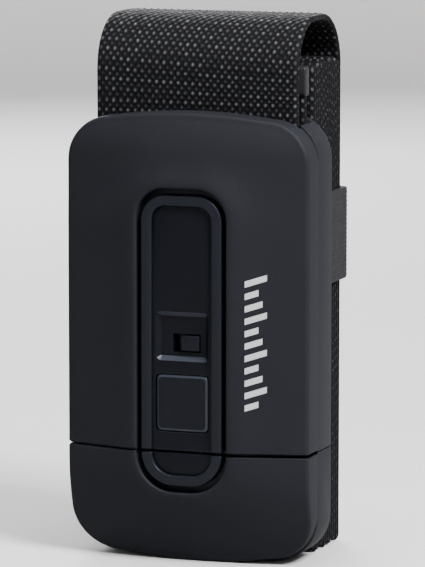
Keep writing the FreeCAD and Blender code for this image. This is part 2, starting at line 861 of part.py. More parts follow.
def offset_side(corners, radii, shift):
    """One side of a ribbon: straight edges and tangent arcs at a distance from its route."""
    edges, start = [], None
    last = len(corners) - 1
    for number, corner in enumerate(corners):
        here = Vector(*corner)
        if number in (0, last):
            other = Vector(*corners[1 if number == 0 else last - 1])
            way = (other - here if number == 0 else here - other).normalize()
            point = here + Vector(-way.y, way.x, 0) * shift
            if number == last:
                edges.append(Part.LineSegment(start, point))
            start = point
            continue
        before = (here - Vector(*corners[number - 1])).normalize()
        after = (Vector(*corners[number + 1]) - here).normalize()
        turning = 1 if before.cross(after).z > 0 else -1
        radius = radii[number - 1]
        centre = here + (after - before).normalize() * (
            radius / math.sin((math.pi - before.getAngle(after)) / 2)
        )
        own = radius - turning * shift
        first = centre + Vector(before.y, -before.x, 0) * (turning * own)
        final = centre + Vector(after.y, -after.x, 0) * (turning * own)
        halfway = centre - (after - before).normalize() * own
        if start.distanceToPoint(first) > 0.001:
            edges.append(Part.LineSegment(start, first))
        edges.append(Part.Arc(first, halfway, final))
        start = final
    return edges


def ribbon_length(corners, radii):
    straight = sum(math.dist(a, b) for a, b in zip(corners, corners[1:]))
    for number, radius in enumerate(radii, start=1):
        here, previous, following = (Vector(*corners[number + k]) for k in (0, -1, 1))
        angle = (here - previous).getAngle(following - here)
        straight += radius * (angle - 2 * math.tan(angle / 2))
    return straight


def make_ribbon(label, corners, radii):
    """Webbing along a route of (y, z) corners, each rounded to its own radius."""
    half = value("web_thick") / 2
    left = offset_side(corners, radii, half)
    right = offset_side(corners, radii, -half)
    ends = [
        Part.LineSegment(left[-1].EndPoint, right[-1].EndPoint),
        Part.LineSegment(right[0].StartPoint, left[0].StartPoint),
    ]
    outline = Part.Wire(Part.__sortEdges__([edge.toShape() for edge in left + right + ends]))
    flat = Part.Face(outline)
    # the route is drawn in a local XY plane: local x becomes Y, local y becomes Z
    flat.Placement = FreeCAD.Placement(Vector(), FreeCAD.Rotation(Vector(1, 1, 1), 120))
    wide = value("web_wide")
    flat.translate(Vector(-wide / 2, 0, 0))
    ribbon = document.addObject("Part::Feature", label)
    ribbon.Label = label
    ribbon.Shape = flat.extrude(Vector(wide, 0, 0))
    parts.append(ribbon)
    return ribbon_length(corners, radii)


def bundle_route():
    """The folded runs, from the top of the last run to where the first nears the tongue."""
    pitch, lowest = value("pitch"), value("web_thick") / 2
    top, count = value("stack_top"), int(value("run_count"))
    fold = pitch / 2
    corners, radii = [(value("run_last"), value("join_z"))], []
    for run in range(count - 1, 0, -1):
        end = lowest if run % 2 == 0 else top
        for number in (run, run - 1):
            corners.append((value("run_first") + number * pitch, end))
            radii.append(fold)
    corners.append((value("run_first"), value("core_low")))
    return corners, radii


def fixed_end_route():
    """From the first run in under the anchor bar, round it and back, then up beside itself."""
    sharp = value("web_thick") + value("layer_gap")
    low, high = value("loop_low"), value("loop_high")
    first, front, returned = value("run_first"), value("strand_y"), value("returned_y")
    corners = [
        (first, value("core_low")),
        (first, low),
        (front, low),
        (front, high),
        (returned, high),
        (returned, value("core_low + stitched_long")),
    ]
    turn = value("turn")
    return corners, [sharp * 1.4, turn, turn, sharp]


def tail_route():
    """Down into the housing, round the adjuster bar and out again beside itself."""
    turn = value("turn")
    low = value("bar_z") - turn
    front, behind = value("strand_y"), value("tail_y")
    corners = [(front, value("join_z")), (front, low), (behind, low), (behind, value("tail_top"))]
    return corners, [turn, turn]


def upper_route():
    """Up behind the housing's end, over the folds and down to the last run."""
    top, radius, join = value("strand_top"), value("arch_radius"), value("join_z")
    front, rear = value("strand_y"), value("run_last")
    return [(front, join), (front, top), (rear, top), (rear, join)], [radius, radius]


def make_tail_tip():
    """The moulded end on the free tail."""
    body = new_body("tail_tip")
    slab(
        body, "block", centred("web_wide + web_side_gap"), centred("tip_thick", "tail_y"),
        ("tail_top", "tail_top + tip_tall"), "tip_thick/3", along="x",
    )


def make_keeper_loop():
    """A closed elastic band round the folded runs."""
    body = new_body("keeper_loop")
    half = "web_wide/2 + keeper_gap"
    front = "run_first - web_thick/2 - keeper_gap"
    rear = "run_last + web_thick/2 + keeper_gap"
    height = centred("keeper_tall", "keeper_up")
    slab(
        body, "outside", (f"0 - ({half}) - keeper_thick", f"{half} + keeper_thick"),
        (f"{front} - keeper_thick", f"{rear} + keeper_thick"), height,
        "keeper_thick", along="z",
    )
    slab(body, "inside", (f"0 - ({half})", half), (front, rear), height, cut=True, along="z")


# ---- the whole strap --------------------------------------------------------------------

make_front_cover()
make_back_cover()
make_bezel("bezel_upper", 1)
make_face_plate()
make_chassis()
make_slider_retainer()
make_catch_spring()
make_catch_screw()
make_bar("adjuster_bar", "bar_z")
make_cover_screws("housing_screw", HOUSING_SCREWS)

make_release_button()
make_release_yoke()
make_return_spring("return_spring_left", -1)
make_return_spring("return_spring_right", 1)
make_lock_slider()

make_tongue_front_cover()
make_tongue_back_cover()
make_bezel("bezel_lower", -1)
make_tongue_face_plate()
make_tongue_core()
make_tongue_blade()
make_rivet("blade_rivet_left", -1)
make_rivet("blade_rivet_right", 1)
make_bar("anchor_bar", "anchor_inset")
make_cover_screws("tongue_screw", TONGUE_SCREWS)

webbing_long = make_ribbon("webbing_bundle", *bundle_route())
webbing_long += make_ribbon("webbing_upper_strand", *upper_route())
webbing_long += make_ribbon("webbing_tail", *tail_route())
webbing_long += make_ribbon("webbing_fixed_end", *fixed_end_route())
make_tail_tip()
make_keeper_loop()

document.recompute()
faults = [item.Label for item in document.Objects if {"Invalid", "Error"} & set(item.State)]
for item in document.Objects:
    if item.TypeId == "PartDesign::Pocket":
        if item.Shape.Volume >= item.BaseFeature.Shape.Volume - 0.001:
            faults.append(f"{item.Label} cuts nothing")
for part in parts:
    if part.Shape.isNull() or not part.Shape.isValid() or len(part.Shape.Solids) != 1:
        faults.append(f"{part.Label} is not one valid solid")
if faults:
    raise RuntimeError(", ".join(faults))

os.makedirs("parts", exist_ok=True)
for part in parts:
    part.Shape.exportStep(os.path.join("parts", f"{part.Label}.step"))
print(f"{len(parts)} parts, {webbing_long:.0f} mm of webbing")
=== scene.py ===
import math

import bmesh
import bpy
import numpy as np
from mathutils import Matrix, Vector


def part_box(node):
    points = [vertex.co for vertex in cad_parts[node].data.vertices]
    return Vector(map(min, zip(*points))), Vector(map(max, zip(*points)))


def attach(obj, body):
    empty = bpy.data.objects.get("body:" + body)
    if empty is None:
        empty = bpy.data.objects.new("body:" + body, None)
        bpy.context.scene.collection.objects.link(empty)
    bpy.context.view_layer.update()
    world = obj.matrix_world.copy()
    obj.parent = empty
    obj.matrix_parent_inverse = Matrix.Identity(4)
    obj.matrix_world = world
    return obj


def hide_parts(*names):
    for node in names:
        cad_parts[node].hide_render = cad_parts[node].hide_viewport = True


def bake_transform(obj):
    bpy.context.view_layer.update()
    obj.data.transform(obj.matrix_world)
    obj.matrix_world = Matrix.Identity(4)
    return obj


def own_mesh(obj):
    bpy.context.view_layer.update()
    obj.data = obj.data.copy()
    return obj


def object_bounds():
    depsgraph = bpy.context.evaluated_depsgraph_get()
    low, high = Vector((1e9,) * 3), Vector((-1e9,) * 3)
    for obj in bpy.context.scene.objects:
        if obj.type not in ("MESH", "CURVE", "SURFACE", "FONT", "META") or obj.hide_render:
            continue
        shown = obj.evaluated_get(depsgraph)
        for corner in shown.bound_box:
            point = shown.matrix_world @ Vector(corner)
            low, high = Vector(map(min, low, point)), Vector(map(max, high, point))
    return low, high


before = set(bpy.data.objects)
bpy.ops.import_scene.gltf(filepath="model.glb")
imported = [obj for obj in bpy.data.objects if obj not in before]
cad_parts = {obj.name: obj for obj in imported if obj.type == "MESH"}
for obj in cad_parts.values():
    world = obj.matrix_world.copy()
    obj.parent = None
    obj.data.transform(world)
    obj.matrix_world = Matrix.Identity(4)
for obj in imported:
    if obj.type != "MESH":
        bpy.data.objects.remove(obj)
cad_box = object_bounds()

MM = 0.001

# ---- the room ---------------------------------------------------------------------------
# A pale floor that turns up all round into a backdrop, a soft key light above the strap's
# right, weaker ones in front, above and behind, and the camera to the strap's right.

strap_low, strap_high = (Vector(corner) for corner in cad_box)
strap_middle = (strap_low + strap_high) / 2

FLOOR_RADIUS = 1.3
SWEEP_RADIUS = 0.6
BACKDROP_TOP = 2.4
FLOOR_RINGS = (0.15, 0.6)
FLOOR_SIDES = 72
SWEEP_STEPS = 10
PALER_FROM = 0.35  # metres from the middle
FLOOR_ROUGHNESS = 0.8
FLOOR_GREY = 0.36
BACKDROP_GREY = 0.85
CAMERA_PLACE = (0.336, -0.9346, 0.2009)
CAMERA_LENS = 268.0
WORLD_STRENGTH = 0.09
LIGHTS = [
    # name, place, size, watts
    ("key_light", (0.62, -0.34, 0.76), 0.35, 46.0),
    ("fill_light", (-0.25, -1.10, 0.45), 0.50, 0.6),
    ("top_light", (0.00, -0.10, 0.95), 0.40, 10.0),
    ("rear_light", (-0.45, 0.75, 0.55), 0.50, 16.0),
]


def mesh_object(name, points, faces):
    """A mesh object from points in metres, linked into the scene."""
    mesh = bpy.data.meshes.new(name)
    mesh.from_pydata([tuple(point) for point in points], [], faces)
    mesh.validate()
    piece = bpy.data.objects.new(name, mesh)
    bpy.context.scene.collection.objects.link(piece)
    return piece


def round_floor():
    rows = [(radius, 0.0) for radius in (*FLOOR_RINGS, FLOOR_RADIUS)]
    for step in range(1, SWEEP_STEPS + 1):
        angle = step / SWEEP_STEPS * math.pi / 2
        rows.append((
            FLOOR_RADIUS + SWEEP_RADIUS * math.sin(angle), SWEEP_RADIUS * (1 - math.cos(angle))
        ))
    rows.append((FLOOR_RADIUS + SWEEP_RADIUS, BACKDROP_TOP))
    count = FLOOR_SIDES
    turns = [2 * math.pi * number / count for number in range(count)]
    points = [
        (radius * math.cos(turn), radius * math.sin(turn), z)
        for radius, z in rows for turn in turns
    ]
    faces = [tuple(range(count))]
    for row in range(len(rows) - 1):
        for place in range(count):
            following = (place + 1) % count
            faces.append((
                row * count + place, (row + 1) * count + place,
                (row + 1) * count + following, row * count + following,
            ))
    floor = mesh_object("floor", points, faces)
    floor.data.shade_smooth()
    return floor


def plain_material(name, colour, roughness):
    """A new material, and its nodes, links and Principled shader."""
    material = bpy.data.materials.new(name)
    material.use_nodes = True
    tree = material.node_tree
    shader = tree.nodes["Principled BSDF"]
    shader.inputs["Base Color"].default_value = (*colour, 1)
    shader.inputs["Roughness"].default_value = roughness
    return material, tree, shader


def floor_material():
    """Matt grey underfoot that grows paler towards the backdrop."""
    material, tree, shader = plain_material("pale_floor", (FLOOR_GREY,) * 3, FLOOR_ROUGHNESS)
    place = tree.nodes.new("ShaderNodeTexCoord")
    reach = tree.nodes.new("ShaderNodeVectorMath")
    reach.operation = "LENGTH"
    tree.links.new(place.outputs["Object"], reach.inputs[0])
    shade = tree.nodes.new("ShaderNodeMapRange")
    shade.interpolation_type = "SMOOTHSTEP"
    for word, setting in (("From Min", PALER_FROM), ("From Max", FLOOR_RADIUS + SWEEP_RADIUS),
                          ("To Min", FLOOR_GREY), ("To Max", BACKDROP_GREY)):
        shade.inputs[word].default_value = setting
    tree.links.new(reach.outputs["Value"], shade.inputs["Value"])
    tree.links.new(shade.outputs["Result"], shader.inputs["Base Color"])
    return material


floor = round_floor()
floor.data.materials.append(floor_material())

world = bpy.data.worlds.new("studio")
world.use_nodes = True
world.node_tree.nodes["Background"].inputs["Color"].default_value = (1, 1, 1, 1)
world.node_tree.nodes["Background"].inputs["Strength"].default_value = WORLD_STRENGTH
bpy.context.scene.world = world

for name, place, size, watts in LIGHTS:
    lamp = bpy.data.lights.new(name, "AREA")
    lamp.size, lamp.energy = size, watts
    light = bpy.data.objects.new(name, lamp)
    light.location = place
    light.rotation_euler = (strap_middle - Vector(place)).to_track_quat("-Z", "Y").to_euler()
    bpy.context.scene.collection.objects.link(light)

camera = bpy.data.objects.new("camera", bpy.data.cameras.new("camera"))
camera.data.lens = CAMERA_LENS
camera.location = CAMERA_PLACE
aim = strap_middle - Vector(CAMERA_PLACE)
camera.rotation_euler = aim.to_track_quat("-Z", "Y").to_euler()
bpy.context.scene.collection.objects.link(camera)
bpy.context.scene.camera = camera

# ---- front covers -----------------------------------------------------------------------
# Two injection-moulded shells with a soft-touch charcoal finish, one on the housing and one
# on the tongue. They meet at the split, are crowned across and along, and swell round the
# opening for the recessed panel. Screws from the back hold them.

cover_low, cover_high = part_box("front_cover")
tongue_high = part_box("tongue_front_cover")[1]
flange_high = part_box("bezel_upper")[1]
lower_flange_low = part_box("bezel_lower")[0]
FLANGE_LAP = 1.7 * MM
BEZEL_FLANGE_THICK = 1.2 * MM
OPENING_HALF = flange_high.x - FLANGE_LAP
OPENING_TOP = flange_high.z - FLANGE_LAP
OPENING_LOW = lower_flange_low.z + FLANGE_LAP
OPENING_RADII = {1: 7.2 * MM, -1: 9.0 * MM}  # at the housing's end and the tongue's
GROOVE_FLOOR = flange_high.y - BEZEL_FLANGE_THICK
COVER_HALF = cover_high.x
COVER_TOP = cover_high.z
COVER_MIDDLE = COVER_TOP / 2
CROWN = cover_low.y
PARTING = cover_high.y
CORNER_RADIUS = 10.5 * MM
END_BOW_HIGH = 1.4 * MM  # how far a cover's end bows out in its middle
CROWN_RADIUS = 130.0 * MM
END_SLOPES = {1: 10.0 * MM, -1: 27.0 * MM}  # at the housing's end and the tongue's
END_DROPS = {1: 2.8 * MM, -1: 6.8 * MM}
SWELL = 1.8 * MM
SWELL_LIP = 0.7 * MM
SWELL_REACHES = {1: 4.2 * MM, 0: 7.0 * MM, -1: 12.0 * MM}  # above, beside and below it
REACH_TURNS_AT = 0.7  # share of the opening's half height where the reach starts to change
SWELL_BLUNT = 0.35  # how round the swell is at its lip
RIM_BEVEL = 0.45 * MM
EDGE_ROUND = 1.1 * MM
SPLIT_BEVEL = 0.42 * MM
FACE_POINTS = 20


def opening_distance(x, z):
    """How far a place on the face lies outside the rounded opening (0 inside it)."""
    half_tall = (OPENING_TOP - OPENING_LOW) / 2
    middle = (OPENING_TOP + OPENING_LOW) / 2
    radius = OPENING_RADII[1] if z > middle else OPENING_RADII[-1]
    across = abs(x) - (OPENING_HALF - radius)
    along = abs(z - middle) - (half_tall - radius)
    outside = math.hypot(max(across, 0), max(along, 0))
    return max(outside + min(max(across, along), 0) - radius, 0)


def face_depth(x, z):
    """The y of the covers' outer face at a place."""
    sign = 1 if z > COVER_MIDDLE else -1
    into_end = max((abs(z - COVER_MIDDLE) - COVER_MIDDLE) / END_SLOPES[sign] + 1, 0)
    # the swell's reach turns smoothly from its value beside the opening to that at its end
    level = abs(z - (OPENING_TOP + OPENING_LOW) / 2) * 2 / (OPENING_TOP - OPENING_LOW)
    share = min(max((level - REACH_TURNS_AT) / (1 - REACH_TURNS_AT), 0), 1)
    share *= share * (3 - 2 * share)
    reach = SWELL_REACHES[0] + (SWELL_REACHES[sign] - SWELL_REACHES[0]) * share
    beyond_lip = max(opening_distance(x, z) - SWELL_LIP, 0) / reach
    swell = SWELL * math.exp(SWELL_BLUNT - math.hypot(beyond_lip, SWELL_BLUNT))
    crown = x**2 / (2 * CROWN_RADIUS)
    return CROWN + SWELL + crown + END_DROPS[sign] * into_end**2 - swell


def arc_points(centre, radius, start, stop, count):
    """Points on an arc, with the way out from its centre at each, angles in quarter turns."""
    found = []
    for angle in np.linspace(start, stop, count) * math.pi / 2:
        way = Vector((math.cos(angle), math.sin(angle)))
        found.append((Vector(centre) + way * radius, way))
    return found


def stretch(first, second, way, count):
    first, second = Vector(first), Vector(second)
    return [(first.lerp(second, step), Vector(way)) for step in np.linspace(0, 1, count)]


def outer_line(split, end, sign, counts):
    """One cover's outer edge from the split, up the left, over its end and down."""
    level = end - sign * CORNER_RADIUS - sign * END_BOW_HIGH
    side = stretch((-COVER_HALF, split), (-COVER_HALF, level), (-1, 0), counts[0])
    flat = COVER_HALF - CORNER_RADIUS
    corner = arc_points((-flat, level), CORNER_RADIUS, 2, 2 - sign, counts[1])
    top = []
    for x in np.linspace(-flat, 0, counts[2]):
        bow = END_BOW_HIGH * (1 - (x / flat) ** 2)
        slant = Vector((2 * END_BOW_HIGH * x / flat**2, float(sign))).normalized()
        top.append((Vector((x, level + sign * (CORNER_RADIUS + bow))), slant))
    return side + corner[1:] + top[1:]


def inner_line(split, end, sign, counts):
    """The opening's edge, point for point beside the outer edge."""
    radius = OPENING_RADII[sign]
    level = end - sign * radius
    side = stretch((-OPENING_HALF, split), (-OPENING_HALF, level), (-1, 0), counts[0])
    flat = OPENING_HALF - radius
    corner = arc_points((-flat, level), radius, 2, 2 - sign, counts[1])
    top = stretch((-flat, end), (0, end), (0, float(sign)), counts[2])
    return side + corner[1:] + top[1:]


def section_across(inner, inner_way, outer, outer_way, inset):
    """The cover's section at one station, as points from the groove's floor round to it."""
    points = []

    def add(place, y):
        points.append((place.x, y, place.y))

    rim = inner + inner_way * RIM_BEVEL
    last = outer - outer_way * EDGE_ROUND
    top = face_depth(rim.x, rim.y) + inset
    add(inner, GROOVE_FLOOR)
    for turn in (0.0, 0.35, 0.7):
        lean = turn * math.pi / 2
        add(inner + inner_way * RIM_BEVEL * (1 - math.cos(lean)),
            top + RIM_BEVEL * (1 - math.sin(lean)))
    for step in np.linspace(0, 1, FACE_POINTS):
        place = rim.lerp(last, float(step))
        add(place, face_depth(place.x, place.y) + inset)
    level = face_depth(last.x, last.y)
    for turn in (0.25, 0.5, 0.75, 1.0):
        lean = turn * math.pi / 2
        place = last + outer_way * (EDGE_ROUND * math.sin(lean) - inset * math.sin(lean))
        add(place, level + EDGE_ROUND * (1 - math.cos(lean)) + inset * math.cos(lean))
    add(outer - outer_way * inset, PARTING)
    add(inner, PARTING)
    return points


def skin_between(sections, closed_ends):
    """Join closed sections, all with the same number of points, into one solid skin."""
    count = len(sections[0])
    points = [point for section in sections for point in section]
    faces = []
    for row in range(len(sections) - 1):
        for place in range(count):
            following = (place + 1) % count
            faces.append((
                row * count + place, row * count + following,
                (row + 1) * count + following, (row + 1) * count + place,
            ))
    if closed_ends:
        faces.append(tuple(reversed(range(count))))
        faces.append(tuple(range(len(points) - count, len(points))))
    return points, faces


def face_outwards(piece):
    shape = bmesh.new()
    shape.from_mesh(piece.data)
    bmesh.ops.remove_doubles(shape, verts=shape.verts, dist=1e-6)
    bmesh.ops.recalc_face_normals(shape, faces=shape.faces)
    shape.to_mesh(piece.data)
    shape.free()


def applied(piece):
    """Turn a piece's modifiers into its plain mesh."""
    graph = bpy.context.evaluated_depsgraph_get()
    mesh = bpy.data.meshes.new_from_object(piece.evaluated_get(graph))
    piece.modifiers.clear()
    piece.data = mesh
    return piece


def smooth_to(piece, degrees):
    piece.data.shade_smooth()
    piece.data.set_sharp_from_angle(angle=math.radians(degrees))


def box_mesh(name, low, high):
    points = [(x, y, z) for x in (low[0], high[0]) for y in (low[1], high[1])
              for z in (low[2], high[2])]
    faces = [(0, 1, 3, 2), (4, 6, 7, 5), (0, 4, 5, 1), (2, 3, 7, 6), (0, 2, 6, 4), (1, 5, 7, 3)]
    return mesh_object(name, points, faces)


def cut_boxes(piece, boxes):
    for number, (low, high) in enumerate(boxes):
        cutter = box_mesh(f"{piece.name}_cutter_{number}", low, high)
        cut = piece.modifiers.new("cut", "BOOLEAN")
        cut.operation, cut.solver, cut.object = "DIFFERENCE", "EXACT", cutter
        applied(piece)
        bpy.data.objects.remove(cutter)


def front_cover(name, node, split, end, opening_end, sign, counts):
    outer = outer_line(split, end, sign, counts)
    inner = inner_line(split, opening_end, sign, counts)
    stations = [(*one, *other) for one, other in zip(inner, outer)]
    flip = Vector((-1, 1))
    stations += [
        (place * flip, way * flip, far * flip, far_way * flip)
        for place, way, far, far_way in reversed(stations[:-1])
    ]
    sections = [section_across(*station, 0.0) for station in stations]
    # a small bevel where the cover ends at the split
    lift = Vector((0, sign * SPLIT_BEVEL))
    for spot, at_end in ((0, 0), (len(sections) - 1, len(sections))):
        place, way, far, far_way = stations[spot]
        sections[spot] = section_across(place + lift, way, far + lift, far_way, 0.0)
        sections.insert(at_end, section_across(place, way, far, far_way, SPLIT_BEVEL))
    points, faces = skin_between(sections, closed_ends=True)
    piece = mesh_object(name, points, faces)
    face_outwards(piece)
    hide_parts(node)
    return piece


WEB_WAY_HALF = 25.6 * MM
WEB_WAY_DEEP = 16 * MM
BLADE_WAY_HALF = 8.8 * MM
BLADE_WAY_FRONT = PARTING - 2.15 * MM
BLADE_WAY_HOUSING = 34 * MM  # how far the blade's way goes into each cover from the split
BLADE_WAY_TONGUE = 4 * MM
WAY_CLEARANCE = 0.35 * MM
PAST_PARTING = 2 * MM  # how far each cutter reaches past the cover, so that it cuts clean through
PAST_TOP = 4 * MM
PAST_SPLIT = 1 * MM
web_way_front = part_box("webbing_tail")[0].y - WAY_CLEARANCE

housing_cover = front_cover(
    "housing_front_cover", "front_cover", cover_low.z, COVER_TOP, OPENING_TOP, 1, (26, 14, 10)
)
cut_boxes(housing_cover, [
    ((-WEB_WAY_HALF, web_way_front, COVER_TOP - WEB_WAY_DEEP),
     (WEB_WAY_HALF, PARTING + PAST_PARTING, COVER_TOP + PAST_TOP)),
    ((-BLADE_WAY_HALF, BLADE_WAY_FRONT, cover_low.z - PAST_SPLIT),
     (BLADE_WAY_HALF, PARTING + PAST_PARTING, cover_low.z + BLADE_WAY_HOUSING)),
])
tongue_cover = front_cover(
    "tongue_end_cover", "tongue_front_cover", tongue_high.z, 0.0, OPENING_LOW, -1, (7, 14, 10)
)
cut_boxes(tongue_cover, [
    ((-BLADE_WAY_HALF, BLADE_WAY_FRONT, tongue_high.z - BLADE_WAY_TONGUE),
     (BLADE_WAY_HALF, PARTING + PAST_PARTING, tongue_high.z + PAST_SPLIT)),
])


def new_group(name, inputs, outputs):
    """A shader node group with named sockets, and its own input and output nodes."""
    group = bpy.data.node_groups.new(name, "ShaderNodeTree")
    for word, kind, default in inputs:
        socket = group.interface.new_socket(word, in_out="INPUT", socket_type=kind)
        if default is not None:
            socket.default_value = default
    for word, kind in outputs:
        group.interface.new_socket(word, in_out="OUTPUT", socket_type=kind)
    return group, group.nodes.new("NodeGroupInput"), group.nodes.new("NodeGroupOutput")


def join(tree, kind, *sources, **settings):
    """A new node with settings, fed in order by sockets or plain values."""
    node = tree.nodes.new(kind)
    for word, setting in settings.items():
        setattr(node, word, setting)
    for number, source in enumerate(sources):
        if source is None:
            continue
        if isinstance(source, bpy.types.NodeSocket):
            tree.links.new(source, node.inputs[number])
        else:
            node.inputs[number].default_value = source
    return node


def maths(tree, operation, *sources):
    return join(tree, "ShaderNodeMath", *sources, operation=operation).outputs[0]


BROAD_SCALE = 60.0  # the mottle's, against the fine texture's own
PORE_SHARE = 0.7  # the pores' scale, as a share of the fine texture's
PORE_DEPTH = 0.5


def moulded_group():
    """Moulded plastic: a fine spark texture, a faint mottle and fine pores."""
    group, given, result = new_group(
        "moulded_surface",
        [
            ("Vector", "NodeSocketVector", None),
            ("Colour", "NodeSocketColor", (0.02, 0.02, 0.02, 1)),
            ("Texture Scale", "NodeSocketFloat", 2400.0),
            ("Mottle", "NodeSocketFloat", 0.12),
            ("Roughness", "NodeSocketFloat", 0.5),
            ("Roughness Spread", "NodeSocketFloat", 0.08),
        ],
        [
            ("Colour", "NodeSocketColor"),
            ("Roughness", "NodeSocketFloat"),
            ("Height", "NodeSocketFloat"),
        ],
    )
    spot, colour, scale, mottle, rough, spread = given.outputs[:6]
    fine = join(group, "ShaderNodeTexNoise", spot, None, scale)
    fine.inputs["Detail"].default_value = 3.0
    broad = join(group, "ShaderNodeTexNoise", spot, None, BROAD_SCALE)
    broad.inputs["Detail"].default_value = 4.0
    pores = join(group, "ShaderNodeTexVoronoi", spot, None, maths(group, "MULTIPLY", scale, PORE_SHARE))
    drift = maths(group, "SUBTRACT", broad.outputs[0], 0.5)
    level = maths(group, "ADD", 1.0, maths(group, "MULTIPLY", drift, mottle))
    speck = maths(group, "MULTIPLY", maths(group, "SUBTRACT", fine.outputs[0], 0.5), mottle)
    shade = join(group, "ShaderNodeVectorMath", colour, operation="SCALE")
    group.links.new(maths(group, "ADD", level, speck), shade.inputs["Scale"])
    group.links.new(shade.outputs[0], result.inputs["Colour"])
    varied = maths(group, "ADD", rough, maths(group, "MULTIPLY", drift, spread))
    group.links.new(varied, result.inputs["Roughness"])
    height = maths(group, "ADD", fine.outputs[0], maths(group, "MULTIPLY", pores.outputs[0], PORE_DEPTH))
    group.links.new(height, result.inputs["Height"])
    return group


MOULDED = moulded_group()
BUMP_REACH = 10 * MM


def moulded(name, colour, roughness, scale=2400.0, depth=0.004, mottle=0.12, gloss=0.35):
    """A moulded plastic: depth is its texture's share of BUMP_REACH, and gloss how strongly it shines."""
    material, tree, shader = plain_material(name, colour, roughness)
    place = tree.nodes.new("ShaderNodeTexCoord")
    surface = join(tree, "ShaderNodeGroup", node_tree=MOULDED)
    tree.links.new(place.outputs["Object"], surface.inputs["Vector"])
    surface.inputs["Colour"].default_value = (*colour, 1)
    surface.inputs["Texture Scale"].default_value = scale
    surface.inputs["Mottle"].default_value = mottle
    surface.inputs["Roughness"].default_value = roughness
    bump = tree.nodes.new("ShaderNodeBump")
    bump.inputs["Strength"].default_value = 0.5
    bump.inputs["Distance"].default_value = depth * BUMP_REACH
    tree.links.new(surface.outputs["Height"], bump.inputs["Height"])
    tree.links.new(surface.outputs["Colour"], shader.inputs["Base Color"])
    tree.links.new(surface.outputs["Roughness"], shader.inputs["Roughness"])
    tree.links.new(bump.outputs["Normal"], shader.inputs["Normal"])
    shader.inputs["Specular IOR Level"].default_value = gloss
    return material


SOFT_TOUCH = moulded(
    "soft_touch_charcoal", (0.0068, 0.0071, 0.0092), 0.60, mottle=0.22, gloss=0.06
)
for piece, body in ((housing_cover, "housing"), (tongue_cover, "strap")):
    smooth_to(piece, 35)
    piece.data.materials.clear()
    piece.data.materials.append(SOFT_TOUCH)
    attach(piece, body)

# ---- back covers ------------------------------------------------------------------------
# The rear halves of the same two mouldings, in the same finish, with plain rounded edges and
# seats for the screws. The folded webbing stands close behind them.


MERGE_APART = 0.002 * MM


def softened(name, node, body, material, width, segments=3, angle=30):
    """A piece made from its CAD solid, with its sharp edges rounded. With no body it is left to bend."""
    piece = bpy.data.objects.new(name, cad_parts[node].data.copy())
    bpy.context.scene.collection.objects.link(piece)
    shape = bmesh.new()
    shape.from_mesh(piece.data)
    bmesh.ops.remove_doubles(shape, verts=shape.verts, dist=MERGE_APART)
    bmesh.ops.dissolve_limit(
        shape, angle_limit=math.radians(1), verts=shape.verts, edges=shape.edges
    )
    shape.to_mesh(piece.data)
    shape.free()
    bevel = piece.modifiers.new("rounded", "BEVEL")
    bevel.width, bevel.segments = width, segments
    bevel.limit_method, bevel.angle_limit = "ANGLE", math.radians(angle)
    bevel.harden_normals = False
    applied(piece)
    smooth_to(piece, 32)
    piece.data.materials.clear()
    piece.data.materials.append(material)
    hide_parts(node)
    if body:
        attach(piece, body)
    return piece


softened("housing_rear", "back_cover", "housing", SOFT_TOUCH, 0.5 * MM)
softened("tongue_rear", "tongue_back_cover", "strap", SOFT_TOUCH, 0.5 * MM)

# ---- printed pattern --------------------------------------------------------------------
# A pale grey pad print beside the recessed panel: a column of short slanted bars, in place
# of any name. It is a film of ink on the cover.

PRINT_COLOUR = (0.27, 0.27, 0.28)
PRINT_LOW, PRINT_HIGH = 37.5 * MM, 69.5 * MM
PRINT_LEFT, PRINT_RIGHT = 15.6 * MM, 20.6 * MM
PRINT_BARS = 11
PRINT_BAR_SHARE = 0.5
PRINT_SLANT = 1.6 * MM
INK_PROUD = 0.03 * MM
BAR_LENGTHS = (0.62, 1.0, 0.8)  # shares of the print's width, in turn
BAR_STEPS = 10
BAR_ROWS = 5


def printed_bars():
    points, faces = [], []
    pitch = (PRINT_HIGH - PRINT_LOW) / PRINT_BARS
    for bar in range(PRINT_BARS):
        low = PRINT_LOW + bar * pitch
        right = PRINT_LEFT + (PRINT_RIGHT - PRINT_LEFT) * BAR_LENGTHS[bar % len(BAR_LENGTHS)]
        rows = []
        for step in range(BAR_STEPS + 1):
            x = PRINT_LEFT + (right - PRINT_LEFT) * step / BAR_STEPS
            rise = PRINT_SLANT * (x - PRINT_LEFT) / (PRINT_RIGHT - PRINT_LEFT)
            row = []
            for z in np.linspace(low + rise, low + rise + pitch * PRINT_BAR_SHARE, BAR_ROWS):
                y = face_depth(x, z)
                row += [(x, y - INK_PROUD, z)]
            back = [(x, y + INK_PROUD * 2, z) for x, y, z in reversed(row)]
            rows.append(row + back)
        more, skin = skin_between(rows, closed_ends=True)
        faces += [tuple(place + len(points) for place in face) for face in skin]
        points += more
    piece = mesh_object("printed_bars", points, faces)
    face_outwards(piece)
    return piece


ink = printed_bars()
smooth_to(ink, 40)
ink.data.materials.append(moulded("pad_print_grey", PRINT_COLOUR, 0.5, depth=0.002, mottle=0.1))
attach(ink, "housing")

# ---- recessed panel ---------------------------------------------------------------------
# A satin bezel ring and a fine matte plate, clipped into the opening from behind. Both are
# split where the buckle parts. The plate has a sloped dish for the lock and a button opening.

SATIN_BEZEL = moulded(
    "satin_bezel", (0.0042, 0.0050, 0.0074), 0.36,
    scale=1800.0, depth=0.003, mottle=0.10, gloss=0.10,
)
FINE_PLATE = moulded(
    "fine_matte_plate", (0.0020, 0.0022, 0.0038), 0.36,
    scale=3000.0, depth=0.003, mottle=0.10, gloss=0.07,
)

